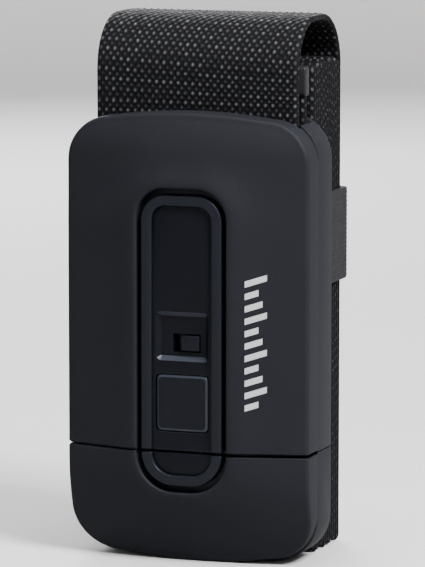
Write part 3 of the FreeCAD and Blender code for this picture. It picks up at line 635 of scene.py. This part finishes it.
softened("bezel_ring", "bezel_upper", "housing", SATIN_BEZEL, 0.28 * MM)
softened("bezel_ring_end", "bezel_lower", "strap", SATIN_BEZEL, 0.28 * MM)
plate = softened("panel_plate", "face_plate", "housing", FINE_PLATE, 0.10 * MM, 2)
# Sloping faces: the lower roughness and stronger gloss are the mould's polished steps; the colour,
# several times paler than the plate's, is a painted highlight on the bevels.
PAINTED_SLOPE_HIGHLIGHT = moulded(
    "slope_painted_highlight", (0.0125, 0.0150, 0.0215), 0.30,
    scale=2600.0, depth=0.002, mottle=0.08, gloss=0.2,
)
SLOPE_LEANS = (0.25, 0.975)  # how squarely a sloping face looks forward, least and most


def paint_slope_highlights(piece, deepest, sides):
    """Give a piece's sloping front faces the glossier finish of the mould's polished steps, in a paler
    colour that is a painted highlight.
    """
    piece.data.materials.append(PAINTED_SLOPE_HIGHLIGHT)
    for face in piece.data.polygons:
        slopes = SLOPE_LEANS[0] < -face.normal.y < SLOPE_LEANS[1] and face.center.y < deepest
        if slopes and (sides or abs(face.normal.z) > abs(face.normal.x)):
            face.material_index = 1


DISH_DEEP = 1.1 * MM
# the dish's sloping faces get the painted highlight colour
paint_slope_highlights(plate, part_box("face_plate")[0].y + DISH_DEEP, sides=False)
softened("panel_plate_end", "tongue_face_plate", "strap", FINE_PLATE, 0.15 * MM)

# ---- button and lock slider -------------------------------------------------------------
# The square release button has a broad rounded edge and returns on two springs. The small
# lock slider moves sideways in its slot. Both are moulded in a blue-black satin plastic.

BLUE_BLACK = moulded(
    "blue_black_satin", (0.0022, 0.0027, 0.0048), 0.33,
    scale=2600.0, depth=0.003, mottle=0.08, gloss=0.10,
)
button_low, button_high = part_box("release_button")
CAP_SIDE = 2.0 * MM  # from the flange's edge to the cap's, across and along
CAP_END = 1.0 * MM
CAP_CORNER = 1.3 * MM
CAP_EDGE_WIDE = 1.25 * MM
CAP_EDGE_DEEP = 0.62 * MM
CAP_HOLLOW = 0.16 * MM
FLANGE_THICK = 1.1 * MM
EDGE_STEPS = 6


def rounded_outline(half_wide, half_tall, corner, spot, y):
    """A rounded rectangle's points round a spot, at one depth."""
    ring = []
    for quarter_turn, (side, end) in enumerate(((1, 1), (-1, 1), (-1, -1), (1, -1))):
        centre = (spot[0] + side * (half_wide - corner), spot[1] + end * (half_tall - corner))
        for place, _ in arc_points(centre, corner, quarter_turn, quarter_turn + 1, 6):
            ring.append((place.x, y, place.y))
    return ring


def push_button():
    spot = ((button_low.x + button_high.x) / 2, (button_low.z + button_high.z) / 2)
    flange = (button_high.x - spot[0], button_high.z - spot[1])
    cap = (flange[0] - CAP_SIDE, flange[1] - CAP_END)
    rings = [
        (*flange, CAP_CORNER, button_high.y),
        (*flange, CAP_CORNER, button_high.y - FLANGE_THICK),
        (*cap, CAP_CORNER, button_high.y - FLANGE_THICK),
    ]
    for step in range(EDGE_STEPS + 1):
        lean = step / EDGE_STEPS * math.pi / 2
        inset = CAP_EDGE_WIDE * (1 - math.cos(lean))
        rings.append((
            cap[0] - inset, cap[1] - inset, CAP_CORNER - 0.5 * inset,
            button_low.y + CAP_EDGE_DEEP * (1 - math.sin(lean)),
        ))
    for share in (0.8, 0.6, 0.4, 0.2):
        inset = CAP_EDGE_WIDE + (cap[0] - CAP_EDGE_WIDE) * (1 - share)
        rings.append((
            cap[0] - inset, cap[1] - inset, max(CAP_CORNER * 0.6 * share, 0.1 * MM),
            button_low.y + CAP_HOLLOW * (1 - share**2),
        ))
    outlines = [rounded_outline(*ring[:3], spot, ring[3]) for ring in rings]
    points, faces = skin_between(outlines, closed_ends=True)
    piece = mesh_object("push_button", points, faces)
    face_outwards(piece)
    smooth_to(piece, 40)
    piece.data.materials.append(BLUE_BLACK)
    # the cap's rounded edge gets the painted highlight colour
    paint_slope_highlights(piece, button_low.y + CAP_EDGE_DEEP, sides=True)
    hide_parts("release_button")
    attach(piece, "button")


push_button()
softened("lock_nub", "lock_slider", "lock", BLUE_BLACK, 0.3 * MM, 3)

# ---- inner works ------------------------------------------------------------------------
# The steel blade, catch, bars, screws and springs, and the black mouldings that hold them.
# The return springs are wound wire that shortens, and the catch leaf bends with the button.
# The rest keep the shapes of their CAD solids, the blade with its edges rounded.


def brushed_steel(name, colour, roughness, stretch_axis):
    """Zinc-plated steel with fine lines along one axis."""
    material, tree, shader = plain_material(name, colour, roughness)
    place = tree.nodes.new("ShaderNodeTexCoord")
    scale = [LINES_ACROSS] * 3
    scale[stretch_axis] = LINES_ALONG
    mapping = join(tree, "ShaderNodeMapping", place.outputs["Object"])
    mapping.inputs["Scale"].default_value = scale
    lines = join(tree, "ShaderNodeTexNoise", mapping.outputs[0], None, 1.0)
    tone = join(tree, "ShaderNodeMapRange", lines.outputs[0], 0.3, 0.7, 0.8, 1.1)
    shade = join(tree, "ShaderNodeVectorMath", colour, operation="SCALE")
    tree.links.new(tone.outputs[0], shade.inputs["Scale"])
    tree.links.new(shade.outputs[0], shader.inputs["Base Color"])
    varied = join(tree, "ShaderNodeMapRange", lines.outputs[0], 0.3, 0.7, roughness - 0.08,
                  roughness + 0.1)
    tree.links.new(varied.outputs[0], shader.inputs["Roughness"])
    bump = tree.nodes.new("ShaderNodeBump")
    bump.inputs["Strength"].default_value = 0.3
    bump.inputs["Distance"].default_value = 0.01 * MM
    tree.links.new(lines.outputs[0], bump.inputs["Height"])
    tree.links.new(bump.outputs["Normal"], shader.inputs["Normal"])
    shader.inputs["Metallic"].default_value = 1.0
    return material


LINES_ACROSS = 1800.0
LINES_ALONG = 60.0
PLATED_STEEL = brushed_steel("plated_steel", (0.52, 0.53, 0.55), 0.32, 2)
BAR_STEEL = brushed_steel("bar_steel", (0.42, 0.42, 0.44), 0.36, 0)
BLACK_NYLON = moulded(
    "black_nylon", (0.007, 0.007, 0.008), 0.5, scale=1500.0, depth=0.004, mottle=0.2, gloss=0.12
)

softened("steel_blade", "tongue_blade", "strap", PLATED_STEEL, 0.2 * MM, 2)

SPRING_WIRE = 0.5 * MM
SPRING_TURNS = 7
SPRING_SIDES = 8
TURN_STEPS = 28


def return_spring(side):
    """A compression spring behind the yoke, wound round the way that the button moves.

    Its first and last turns lie closed, and the turns between them share the rest."""
    node = f"return_spring_{side}"
    low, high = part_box(node)
    middle = (low + high) / 2
    coil_radius = (high.x - low.x - SPRING_WIRE) / 2
    pitch = (high.y - low.y - 3 * SPRING_WIRE) / (SPRING_TURNS - 2)
    sections = []
    for step in range(SPRING_TURNS * TURN_STEPS + 1):
        turns = step / TURN_STEPS
        closed = min(turns, 1) + max(turns - (SPRING_TURNS - 1), 0)
        y = low.y + SPRING_WIRE / 2 + closed * SPRING_WIRE + (turns - closed) * pitch
        out = Vector((math.cos(2 * math.pi * turns), 0, math.sin(2 * math.pi * turns)))
        centre = Vector((middle.x, y, middle.z)) + out * coil_radius
        angles = [2 * math.pi * number / SPRING_SIDES for number in range(SPRING_SIDES)]
        sections.append([
            centre + (out * math.cos(a) + Vector((0, math.sin(a), 0))) * SPRING_WIRE / 2
            for a in angles
        ])
    points, faces = skin_between(sections, closed_ends=True)
    piece = mesh_object(f"{side}_return_coil", points, faces)
    face_outwards(piece)
    piece.data.shade_smooth()
    piece.data.materials.append(PLATED_STEEL)
    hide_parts(node)
    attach(piece, "housing")
    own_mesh(piece)


return_spring("left")
return_spring("right")

LEAF_CUTS = 14


def catch_leaf():
    """The catch's spring leaf: its screw holds one end, and the yoke bends back the other."""
    piece = softened("catch_leaf", "catch_spring", None, PLATED_STEEL, 0.08 * MM, 1)
    low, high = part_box("catch_spring")
    shape = bmesh.new()
    shape.from_mesh(piece.data)
    for number in range(1, LEAF_CUTS):
        height = low.z + (high.z - low.z) * number / LEAF_CUTS
        bmesh.ops.bisect_plane(
            shape, geom=[*shape.verts, *shape.edges, *shape.faces],
            plane_co=(0, 0, height), plane_no=(0, 0, 1),
        )
    shape.to_mesh(piece.data)
    shape.free()
    smooth_to(piece, 32)
    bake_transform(piece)


catch_leaf()
NYLON_NODES = ("chassis", "slider_retainer", "release_yoke", "tongue_core")
BAR_NODES = ("adjuster_bar", "anchor_bar")


def finish_node(node, material):
    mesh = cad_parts[node].data
    mesh.materials.clear()
    mesh.materials.append(material)


# ---- webbing ----------------------------------------------------------------------------
# Polyester webbing 50 mm wide and 1.4 mm thick, woven black with rows of raised yarn dots,
# every second row half a step aside and lower. Its edges are tightly bound. It runs round
# the adjuster bar, over the bundle, down its back and through all the folds to the tongue.

WEB_HALF = 25.0 * MM
WEB_THICK = 1.4 * MM
DOT_ACROSS = 1.8 * MM
DOT_ALONG = 2.2 * MM
DOT_WIDE = 0.44 * MM
DOT_LONG = 0.52 * MM
DOT_HIGH = 0.34 * MM
LOW_DOT = 0.66
SELVEDGE = 1.3 * MM
DOT_SLANT = 0.15
EDGE_WIDE = 0.7 * MM  # where the cloth thins towards its bound edges
EDGE_THINNED = 0.92
OUTER_WEAR = 0.9  # the outermost run's dots are pressed a little flatter
ROW_LEAN = math.tan(math.radians(3.5))
LAYER_PITCH = 1.55 * MM
RUNS = 13
bundle_low, bundle_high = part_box("webbing_bundle")
upper_low, upper_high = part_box("webbing_upper_strand")
tail_low, tail_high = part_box("webbing_tail")
end_low, end_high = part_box("webbing_fixed_end")
FIRST_RUN = bundle_low.y + WEB_THICK / 2
LAST_RUN = bundle_high.y - WEB_THICK / 2
STACK_TOP = bundle_high.z
JOIN = upper_low.z
STRAND_FRONT = upper_low.y + WEB_THICK / 2
STRAND_TOP = upper_high.z - WEB_THICK / 2
chance = np.random.default_rng(11)


def dots(across, along):
    """Height of the raised yarn at a place on the webbing, from 0 to 1."""
    def row(shift, high):
        a = (across / DOT_ACROSS + shift) % 1.0 - 0.5
        b = (along / DOT_ALONG + shift) % 1.0 - 0.5
        a, b = a * DOT_ACROSS, b * DOT_ALONG
        slant = b - DOT_SLANT * a
        return high * np.exp(-((a / DOT_WIDE) ** 2) - (slant / DOT_LONG) ** 2)
    return row(0.0, 1.0) + row(0.5, LOW_DOT)


def spaced(route, step):
    """Points along a route of (y, z) points at an even spacing."""
    route = np.array(route, float)
    run = np.concatenate([[0], np.cumsum(np.hypot(*np.diff(route, axis=0).T))])
    count = max(int(round(run[-1] / step)), 2)
    at = np.linspace(0, run[-1], count + 1)
    return np.column_stack([np.interp(at, run, route[:, k]) for k in (0, 1)]), at


def arch(first, second, third, radius, count=24):
    """A tangent arc at a corner of a route."""
    a, b, c = (np.array(point, float) for point in (first, second, third))
    before, after = (b - a) / np.linalg.norm(b - a), (c - b) / np.linalg.norm(c - b)
    turn = math.acos(float(np.clip(before @ after, -1, 1)))
    start, stop = b - before * radius * math.tan(turn / 2), b + after * radius * math.tan(turn / 2)
    middle = (after - before) / np.linalg.norm(after - before)
    centre = b + middle * radius / math.cos(turn / 2)
    angles = [math.atan2(*(point - centre)[::-1]) for point in (start, stop)]
    sweep = (angles[1] - angles[0] + math.pi) % (2 * math.pi) - math.pi
    return [
        tuple(centre + radius * np.array([math.cos(angles[0] + sweep * k / count),
                                          math.sin(angles[0] + sweep * k / count)]))
        for k in range(count + 1)
    ]


def rounded_route(corners, radii):
    route = [corners[0]]
    for number, radius in enumerate(radii, start=1):
        route += arch(corners[number - 1], corners[number], corners[number + 1], radius)
    return route + [corners[-1]]


def ribbon(name, route, step, columns, relief, start_at=0.0, lean=None):
    """Webbing along a route, with raised dots on its outer side where relief is given.

    The outer side is on the left of the way along the route. Its UV map holds metres across
    and along, so the weave in the material falls on the relief."""
    line, along = spaced(route, step)
    way = np.gradient(line, axis=0)
    way /= np.linalg.norm(way, axis=1)[:, None]
    out = np.column_stack([-way[:, 1], way[:, 0]])
    across = np.linspace(-WEB_HALF, WEB_HALF, columns)
    if not relief:
        # smooth cloth has its points close together at the bound edges only
        across = WEB_HALF * np.sin(across / WEB_HALF * math.pi / 2)
    # the lean slides each row of the weave along the route, more at one edge than the other
    slide = np.zeros_like(along) if lean is None else lean(along / along[-1]) * ROW_LEAN
    edge = np.clip((WEB_HALF - np.abs(across)) / EDGE_WIDE, 0, 1)
    half = WEB_THICK / 2 * np.sqrt(1 - (1 - edge) ** 2 * EDGE_THINNED)
    bound = np.clip((WEB_HALF - np.abs(across)) / SELVEDGE, 0, 1) ** 2
    sections = []
    for row, (place, normal, at) in enumerate(zip(line, out, along)):
        on_cloth = at + start_at + across * slide[row]
        rise = relief * bound * dots(across, on_cloth) if relief else np.zeros(columns)
        outer = [
            (x, place[0] + normal[0] * h, place[1] + normal[1] * h)
            for x, h in zip(across, half + rise)
        ]
        inner = [
            (x, place[0] - normal[0] * h, place[1] - normal[1] * h)
            for x, h in zip(across[::-1], half[::-1])
        ]
        sections.append(outer + inner)
    points, faces = skin_between(sections, closed_ends=True)
    piece = mesh_object(name, points, faces)
    count = 2 * columns
    cloth = np.zeros((len(points), 2))
    for row, at in enumerate(along):
        on_cloth = at + start_at + across * slide[row]
        cloth[row * count:row * count + columns] = np.column_stack([across, on_cloth])
        cloth[row * count + columns:(row + 1) * count] = np.column_stack(
            [across[::-1], on_cloth[::-1]]
        )
    layer = piece.data.uv_layers.new(name="cloth")
    corners = np.empty(len(piece.data.loops), int)
    piece.data.loops.foreach_get("vertex_index", corners)
    layer.data.foreach_set("uv", cloth[corners].ravel())
    shape = bmesh.new()
    shape.from_mesh(piece.data)
    bmesh.ops.recalc_face_normals(shape, faces=shape.faces)
    shape.to_mesh(piece.data)
    shape.free()
    smooth_to(piece, 70)
    return piece, along[-1]


GROUND_SHADE = (0.0016, 0.0016, 0.0022)
# painted highlight: the raised dots are coloured many times paler than the black ground, standing in for
# light caught on the yarn crests
DOT_PAINTED_HIGHLIGHT = (0.052, 0.052, 0.056)
YARN_SCALE = 1400.0
FUZZ_SCALE = 5000.0
PATCH_SCALE = 500.0


def woven_material():
    """Black polyester whose raised yarns catch the light; the dots are also coloured paler than the black
    ground as a painted highlight.
    """
    material, tree, shader = plain_material("black_webbing", (0.006, 0.006, 0.0075), 0.6)
    shader.inputs["Specular IOR Level"].default_value = 0.06
    cloth = join(tree, "ShaderNodeUVMap", uv_map="cloth").outputs[0]
    apart = join(tree, "ShaderNodeSeparateXYZ", cloth)
    across, along = apart.outputs[0], apart.outputs[1]

    def row(shift, high):
        a = maths(tree, "ADD", maths(tree, "DIVIDE", across, DOT_ACROSS), shift)
        b = maths(tree, "ADD", maths(tree, "DIVIDE", along, DOT_ALONG), shift)
        a = maths(tree, "SUBTRACT", maths(tree, "FRACT", a), 0.5)
        b = maths(tree, "SUBTRACT", maths(tree, "FRACT", b), 0.5)
        a, b = maths(tree, "MULTIPLY", a, DOT_ACROSS), maths(tree, "MULTIPLY", b, DOT_ALONG)
        slant = maths(tree, "ADD", b, maths(tree, "MULTIPLY", a, -DOT_SLANT))
        wide, long = (
            maths(tree, "POWER", maths(tree, "ABSOLUTE", maths(tree, "DIVIDE", away, size)), 2.0)
            for away, size in ((a, DOT_WIDE), (slant, DOT_LONG))
        )
        near = maths(tree, "ADD", wide, long)
        fade = maths(tree, "EXPONENT", maths(tree, "MULTIPLY", near, -1.0))
        return maths(tree, "MULTIPLY", fade, high)

    raised = maths(tree, "ADD", row(0.0, 1.0), row(0.5, LOW_DOT))
    yarn = join(tree, "ShaderNodeTexWave", cloth, YARN_SCALE, wave_type="BANDS",
                bands_direction="DIAGONAL")
    yarn.inputs["Distortion"].default_value = 1.5
    fuzz = join(tree, "ShaderNodeTexNoise", cloth, None, FUZZ_SCALE)
    fibre = maths(tree, "MULTIPLY", yarn.outputs[1], fuzz.outputs[0])
    # where the dots are, for the painted highlight colour and the lower roughness
    lit = join(tree, "ShaderNodeMapRange", raised, 0.3, 0.95, 0.0, 1.0).outputs[0]
    patches = join(tree, "ShaderNodeTexNoise", cloth, None, PATCH_SCALE)
    uneven = join(tree, "ShaderNodeMapRange", patches.outputs[0], 0.36, 0.62, 0.2, 1.0)
    varied = maths(tree, "MULTIPLY", lit, uneven.outputs[0])
    colour = join(tree, "ShaderNodeMix", varied, data_type="RGBA")
    shades = {"A": GROUND_SHADE, "B": DOT_PAINTED_HIGHLIGHT}
    for socket in colour.inputs:
        if socket.type == "RGBA":
            socket.default_value = (*shades[socket.name], 1)
    mixed = next(socket for socket in colour.outputs if socket.type == "RGBA")
    tree.links.new(mixed, shader.inputs["Base Color"])
    rough = join(tree, "ShaderNodeMapRange", varied, 0.0, 1.0, 0.72, 0.36)
    tree.links.new(rough.outputs[0], shader.inputs["Roughness"])
    height = maths(tree, "ADD", maths(tree, "MULTIPLY", raised, 0.8), maths(tree, "MULTIPLY", fibre, 0.5))
    bump = tree.nodes.new("ShaderNodeBump")
    bump.inputs["Strength"].default_value = 0.7
    bump.inputs["Distance"].default_value = 0.16 * MM
    tree.links.new(height, bump.inputs["Height"])
    tree.links.new(bump.outputs["Normal"], shader.inputs["Normal"])
    return material


WEBBING = woven_material()


def finish_webbing(piece, node, body):
    piece.data.materials.clear()
    piece.data.materials.append(WEBBING)
    if node:
        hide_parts(node)
    if body:
        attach(piece, body)


# round the adjuster bar, from the tail's free end up to where the strand leaves the housing
TURN = 2.75 * MM
tail_low_z = tail_low.z + WEB_THICK / 2
tail_back = tail_high.y - WEB_THICK / 2
tail_route = rounded_route(
    [(tail_back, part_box("tail_tip")[0].z), (tail_back, tail_low_z),
     (STRAND_FRONT, tail_low_z), (STRAND_FRONT, JOIN)],
    [TURN, TURN],
)
tail, tail_long = ribbon(
    "webbing_round_bar", tail_route, step=0.35 * MM, columns=141, relief=DOT_HIGH
)
finish_webbing(tail, "webbing_tail", "housing")

# the strand over the top, from the housing back to the last run
OVER_TOP_RADIUS = 12 * MM
upper_route = rounded_route(
    [(STRAND_FRONT, JOIN), (STRAND_FRONT, STRAND_TOP), (LAST_RUN, STRAND_TOP), (LAST_RUN, JOIN)],
    [OVER_TOP_RADIUS, OVER_TOP_RADIUS],
)
upper, upper_long = ribbon(
    "webbing_over_top", upper_route, step=0.275 * MM, columns=171, relief=DOT_HIGH,
    start_at=tail_long,
    lean=lambda share: np.sin(np.pi * share) ** 0.4,
)
finish_webbing(upper, "webbing_upper_strand", None)

# the sewn end round the anchor bar
end_front = end_low.y + WEB_THICK / 2
end_first = end_high.y - WEB_THICK / 2
end_low_z = end_low.z + WEB_THICK / 2
end_join = 14.0 * MM  # the height where the sewn end meets the first run
returned = end_first - LAYER_PITCH
end_route = rounded_route(
    [(end_first, end_join), (end_first, end_low_z), (end_front, end_low_z),
     (end_front, end_low_z + 2 * TURN), (returned, end_low_z + 2 * TURN),
     (returned, end_high.z)],
    [LAYER_PITCH * 1.4, TURN, TURN, LAYER_PITCH],
)
fixed_end = ribbon("webbing_sewn_end", end_route, step=0.5 * MM, columns=31, relief=0)[0]
finish_webbing(fixed_end, "webbing_fixed_end", "strap")

# the folded runs, from the last one's top forward to the first
FOLD_SPREAD = 1.3 * MM
FOLD_RADIUS = LAYER_PITCH * 0.499  # just under half the pitch, so that both arcs fit
runs = [FIRST_RUN + number * LAYER_PITCH for number in range(RUNS)]


def fold_ends():
    """Where each fold turns: low ones at the floor, high ones uneven under the strand."""
    ends = []
    for number in range(RUNS - 1, 0, -1):
        low = number % 2 == 0
        slack = float(chance.uniform(0, FOLD_SPREAD))
        ends.append(WEB_THICK / 2 + slack * 0.6 if low else STACK_TOP - WEB_THICK / 2 - slack)
    return ends


def folded_route(ends, first, last):
    """The route from the last run down and up through the folds, for a range of runs."""
    corners, radii = [(runs[first], JOIN if first == RUNS - 1 else STACK_TOP / 2)], []
    for number, end in zip(range(RUNS - 1, 0, -1), ends):
        if last < number <= first:
            corners += [(runs[number], end), (runs[number - 1], end)]
            radii += [FOLD_RADIUS] * 2
    corners.append((runs[last], end_join if last == 0 else STACK_TOP / 2))
    return rounded_route(corners, radii)


ends = fold_ends()
outer_run = ribbon(
    "webbing_outer_run", folded_route(ends, RUNS - 1, RUNS - 2), step=0.44 * MM, columns=101,
    relief=DOT_HIGH * OUTER_WEAR, start_at=tail_long + upper_long,
)[0]
finish_webbing(outer_run, None, "strap")
bundle = ribbon(
    "webbing_folds", folded_route(ends, RUNS - 2, 0), step=0.5 * MM, columns=17, relief=0
)[0]
finish_webbing(bundle, "webbing_bundle", "strap")
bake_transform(upper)

# ---- tail tip ---------------------------------------------------------------------------
# A moulded end clamped on the free tail, so that it doesn't fray or pull back through.

softened("tail_end_clip", "tail_tip", "housing", BLACK_NYLON, 0.4 * MM)

# ---- keeper loop ------------------------------------------------------------------------
# A closed band of ribbed elastic round the folds. Its ribs run round the loop, and a short
# lapped seam at the back is sewn with two dense bars of stitches.

keeper_low, keeper_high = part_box("keeper_loop")
KEEPER_THICK = 1.1 * MM
KEEPER_RIB = 1.1 * MM
KEEPER_RIB_HIGH = 0.11 * MM
KEEPER_CORNER = 1.2 * MM
KEEPER_ROWS = 101
KEEPER_EDGE = 0.5 * MM
KEEPER_EDGE_THINNED = 0.25 * MM


def keeper_line(count_side, count_deep, corner):
    """Points and ways out round the loop, in (x, y), going round once."""
    half_x = keeper_high.x
    low_y, high_y = keeper_low.y, keeper_high.y
    middle_y, half_y = (low_y + high_y) / 2, (high_y - low_y) / 2
    line = []
    quarters = [(1, 1, 0), (-1, 1, 1), (-1, -1, 2), (1, -1, 3)]
    for sign_x, sign_y, quarter_turn in quarters:
        centre = (sign_x * (half_x - corner), middle_y + sign_y * (half_y - corner))
        line += arc_points(centre, corner, quarter_turn, quarter_turn + 1, 7)
        following = quarters[(quarter_turn + 1) % 4]
        target = (following[0] * (half_x - corner), middle_y + following[1] * (half_y - corner))
        count = count_side if sign_y == following[1] else count_deep
        way = line[-1][1]
        first = Vector(centre) + way * corner
        second = Vector(target) + way * corner
        line += stretch(first, second, way, count)[1:-1]
    return line


def keeper_band():
    rows = np.linspace(keeper_low.z, keeper_high.z, KEEPER_ROWS)
    line = keeper_line(24, 10, KEEPER_CORNER)
    sections = []
    for place, way in line:
        outer, inner = [], []
        for z in rows:
            edge = min(z - rows[0], rows[-1] - z)
            rib = 0.5 + 0.5 * math.cos(2 * math.pi * z / KEEPER_RIB)
            thin = KEEPER_EDGE_THINNED * max(0.0, 1 - edge / KEEPER_EDGE) ** 2
            spot = place - way * (KEEPER_RIB_HIGH * (1 - rib) + thin)
            outer.append((spot.x, spot.y, z))
            spot = place - way * (KEEPER_THICK - thin)
            inner.append((spot.x, spot.y, z))
        sections.append(outer + inner[::-1])
    sections.append(sections[0])
    points, faces = skin_between(sections, closed_ends=False)
    piece = mesh_object("elastic_keeper", points, faces)
    face_outwards(piece)
    piece.data.shade_smooth()
    return piece


def elastic_material():
    material, tree, shader = plain_material("black_elastic", (0.010, 0.010, 0.011), 0.7)
    shader.inputs["Specular IOR Level"].default_value = 0.1
    place = tree.nodes.new("ShaderNodeTexCoord").outputs["Object"]
    mapping = join(tree, "ShaderNodeMapping", place)
    mapping.inputs["Scale"].default_value = (1.0, 1.0, 0.35)
    knit = join(tree, "ShaderNodeTexVoronoi", mapping.outputs[0], None, 1500.0)
    fuzz = join(tree, "ShaderNodeTexNoise", place, None, 3500.0)
    tone = join(tree, "ShaderNodeMapRange", knit.outputs[0], 0.0, 0.7, 1.5, 0.6)
    shade = join(tree, "ShaderNodeVectorMath", (0.009, 0.009, 0.0105), operation="SCALE")
    tree.links.new(tone.outputs[0], shade.inputs["Scale"])
    tree.links.new(shade.outputs[0], shader.inputs["Base Color"])
    bump = tree.nodes.new("ShaderNodeBump")
    bump.inputs["Strength"].default_value = 0.6
    bump.inputs["Distance"].default_value = 0.08 * MM
    tree.links.new(maths(tree, "SUBTRACT", fuzz.outputs[0], knit.outputs[0]), bump.inputs["Height"])
    tree.links.new(bump.outputs["Normal"], shader.inputs["Normal"])
    return material


keeper = keeper_band()
keeper.data.materials.append(elastic_material())
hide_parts("keeper_loop")
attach(keeper, "keeper")

# ---- stitching --------------------------------------------------------------------------
# Bonded polyester thread: a box with a cross sews the tongue's end of the webbing to itself,
# and two dense bars close the keeper's lapped seam.

STITCH_LONG = 2.2 * MM
STITCH_THICK = 0.34 * MM


def stitch_tree():
    """Short rounded stitches spread along the edges of the mesh that is given."""
    tree = bpy.data.node_groups.new("stitch_row", "GeometryNodeTree")
    face = tree.interface
    face.new_socket("Geometry", in_out="INPUT", socket_type="NodeSocketGeometry")
    for word, default in (("Length", STITCH_LONG), ("Thickness", STITCH_THICK), ("Gap", 0.5 * MM)):
        socket = face.new_socket(word, in_out="INPUT", socket_type="NodeSocketFloat")
        socket.default_value = default
    face.new_socket("Thread", in_out="INPUT", socket_type="NodeSocketMaterial")
    face.new_socket("Geometry", in_out="OUTPUT", socket_type="NodeSocketGeometry")
    given, result = tree.nodes.new("NodeGroupInput"), tree.nodes.new("NodeGroupOutput")
    length, thickness, gap, thread = (given.outputs[k] for k in (1, 2, 3, 4))
    curve = join(tree, "GeometryNodeMeshToCurve", given.outputs[0])
    pitch = maths(tree, "ADD", length, gap)
    spots = join(tree, "GeometryNodeCurveToPoints", curve.outputs[0], mode="LENGTH")
    tree.links.new(pitch, spots.inputs["Length"])
    ball = join(tree, "GeometryNodeMeshUVSphere")
    ball.inputs["Segments"].default_value = 8
    ball.inputs["Rings"].default_value = 6
    ball.inputs["Radius"].default_value = 0.5
    size = join(tree, "ShaderNodeCombineXYZ", thickness, thickness, length)
    place = join(tree, "GeometryNodeInstanceOnPoints", spots.outputs["Points"])
    tree.links.new(ball.outputs["Mesh"], place.inputs["Instance"])
    tree.links.new(spots.outputs["Rotation"], place.inputs["Rotation"])
    tree.links.new(size.outputs[0], place.inputs["Scale"])
    real = join(tree, "GeometryNodeRealizeInstances", place.outputs[0])
    smooth = join(tree, "GeometryNodeSetShadeSmooth", real.outputs[0])
    paint = join(tree, "GeometryNodeSetMaterial", smooth.outputs[0])
    tree.links.new(thread, paint.inputs["Material"])
    tree.links.new(paint.outputs[0], result.inputs[0])
    return tree


STITCHES = stitch_tree()
THREAD = moulded("black_thread", (0.02, 0.02, 0.022), 0.5, scale=4000.0, depth=0.004, mottle=0.3)


def sew(name, lines, body, slot, **sizes):
    """Stitches along straight lines, each a pair of places."""
    points = [place for pair in lines for place in pair]
    piece = mesh_object(name, points, [])
    piece.data.edges.add(len(lines))
    for number, edge in enumerate(piece.data.edges):
        edge.vertices = (2 * number, 2 * number + 1)
    rows = piece.modifiers.new("rows", "NODES")
    rows.node_group = STITCHES
    sockets = {
        item.name: item.identifier for item in STITCHES.interface.items_tree
        if item.in_out == "INPUT"
    }
    rows[sockets["Thread"]] = THREAD
    for word, size in sizes.items():
        rows[sockets[word.capitalize()]] = size
    applied(piece)
    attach(piece, body)
    return piece


def box_cross(low_x, high_x, low_z, high_z, y):
    a, b, c, d = (low_x, y, low_z), (high_x, y, low_z), (high_x, y, high_z), (low_x, y, high_z)
    return [(a, b), (b, c), (c, d), (d, a), (a, c), (b, d)]


BOX_INSET = 3.0 * MM
BOX_LOW = 17.0 * MM
stitch_side = returned - WEB_THICK / 2
sew(
    "box_stitching",
    box_cross(
        -WEB_HALF + BOX_INSET, WEB_HALF - BOX_INSET, BOX_LOW, end_high.z - BOX_INSET, stitch_side
    ),
    "strap", "webbing",
)
SEAM_PITCH = 0.55 * MM
SEAM_LEAN = 0.25 * MM
SEAM_HALF = 1.6 * MM
SEAM_APART = 4.5 * MM  # each bar from the keeper's middle
seam_y = keeper_high.y + 0.02 * MM
seam_rows = np.arange(keeper_low.z + 1.5 * MM, keeper_high.z - 1.2 * MM, SEAM_PITCH)
sew(
    "keeper_seam",
    [((x - SEAM_HALF, seam_y, z), (x + SEAM_HALF, seam_y, z + SEAM_LEAN))
     for x in (-SEAM_APART, SEAM_APART) for z in seam_rows],
    "keeper", "keeper_elastic", length=1.35 * MM, thickness=0.3 * MM, gap=0.1 * MM,
)

# ---- finishes of the CAD solids that stay ------------------------------------------------
# Inner mouldings are black nylon, the adjuster and anchor bars are a darker drawn steel, and
# everything else that stays is plated steel.

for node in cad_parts:
    if node in NYLON_NODES:
        finish_node(node, BLACK_NYLON)
    elif node in BAR_NODES:
        finish_node(node, BAR_STEEL)
    else:
        finish_node(node, PLATED_STEEL)
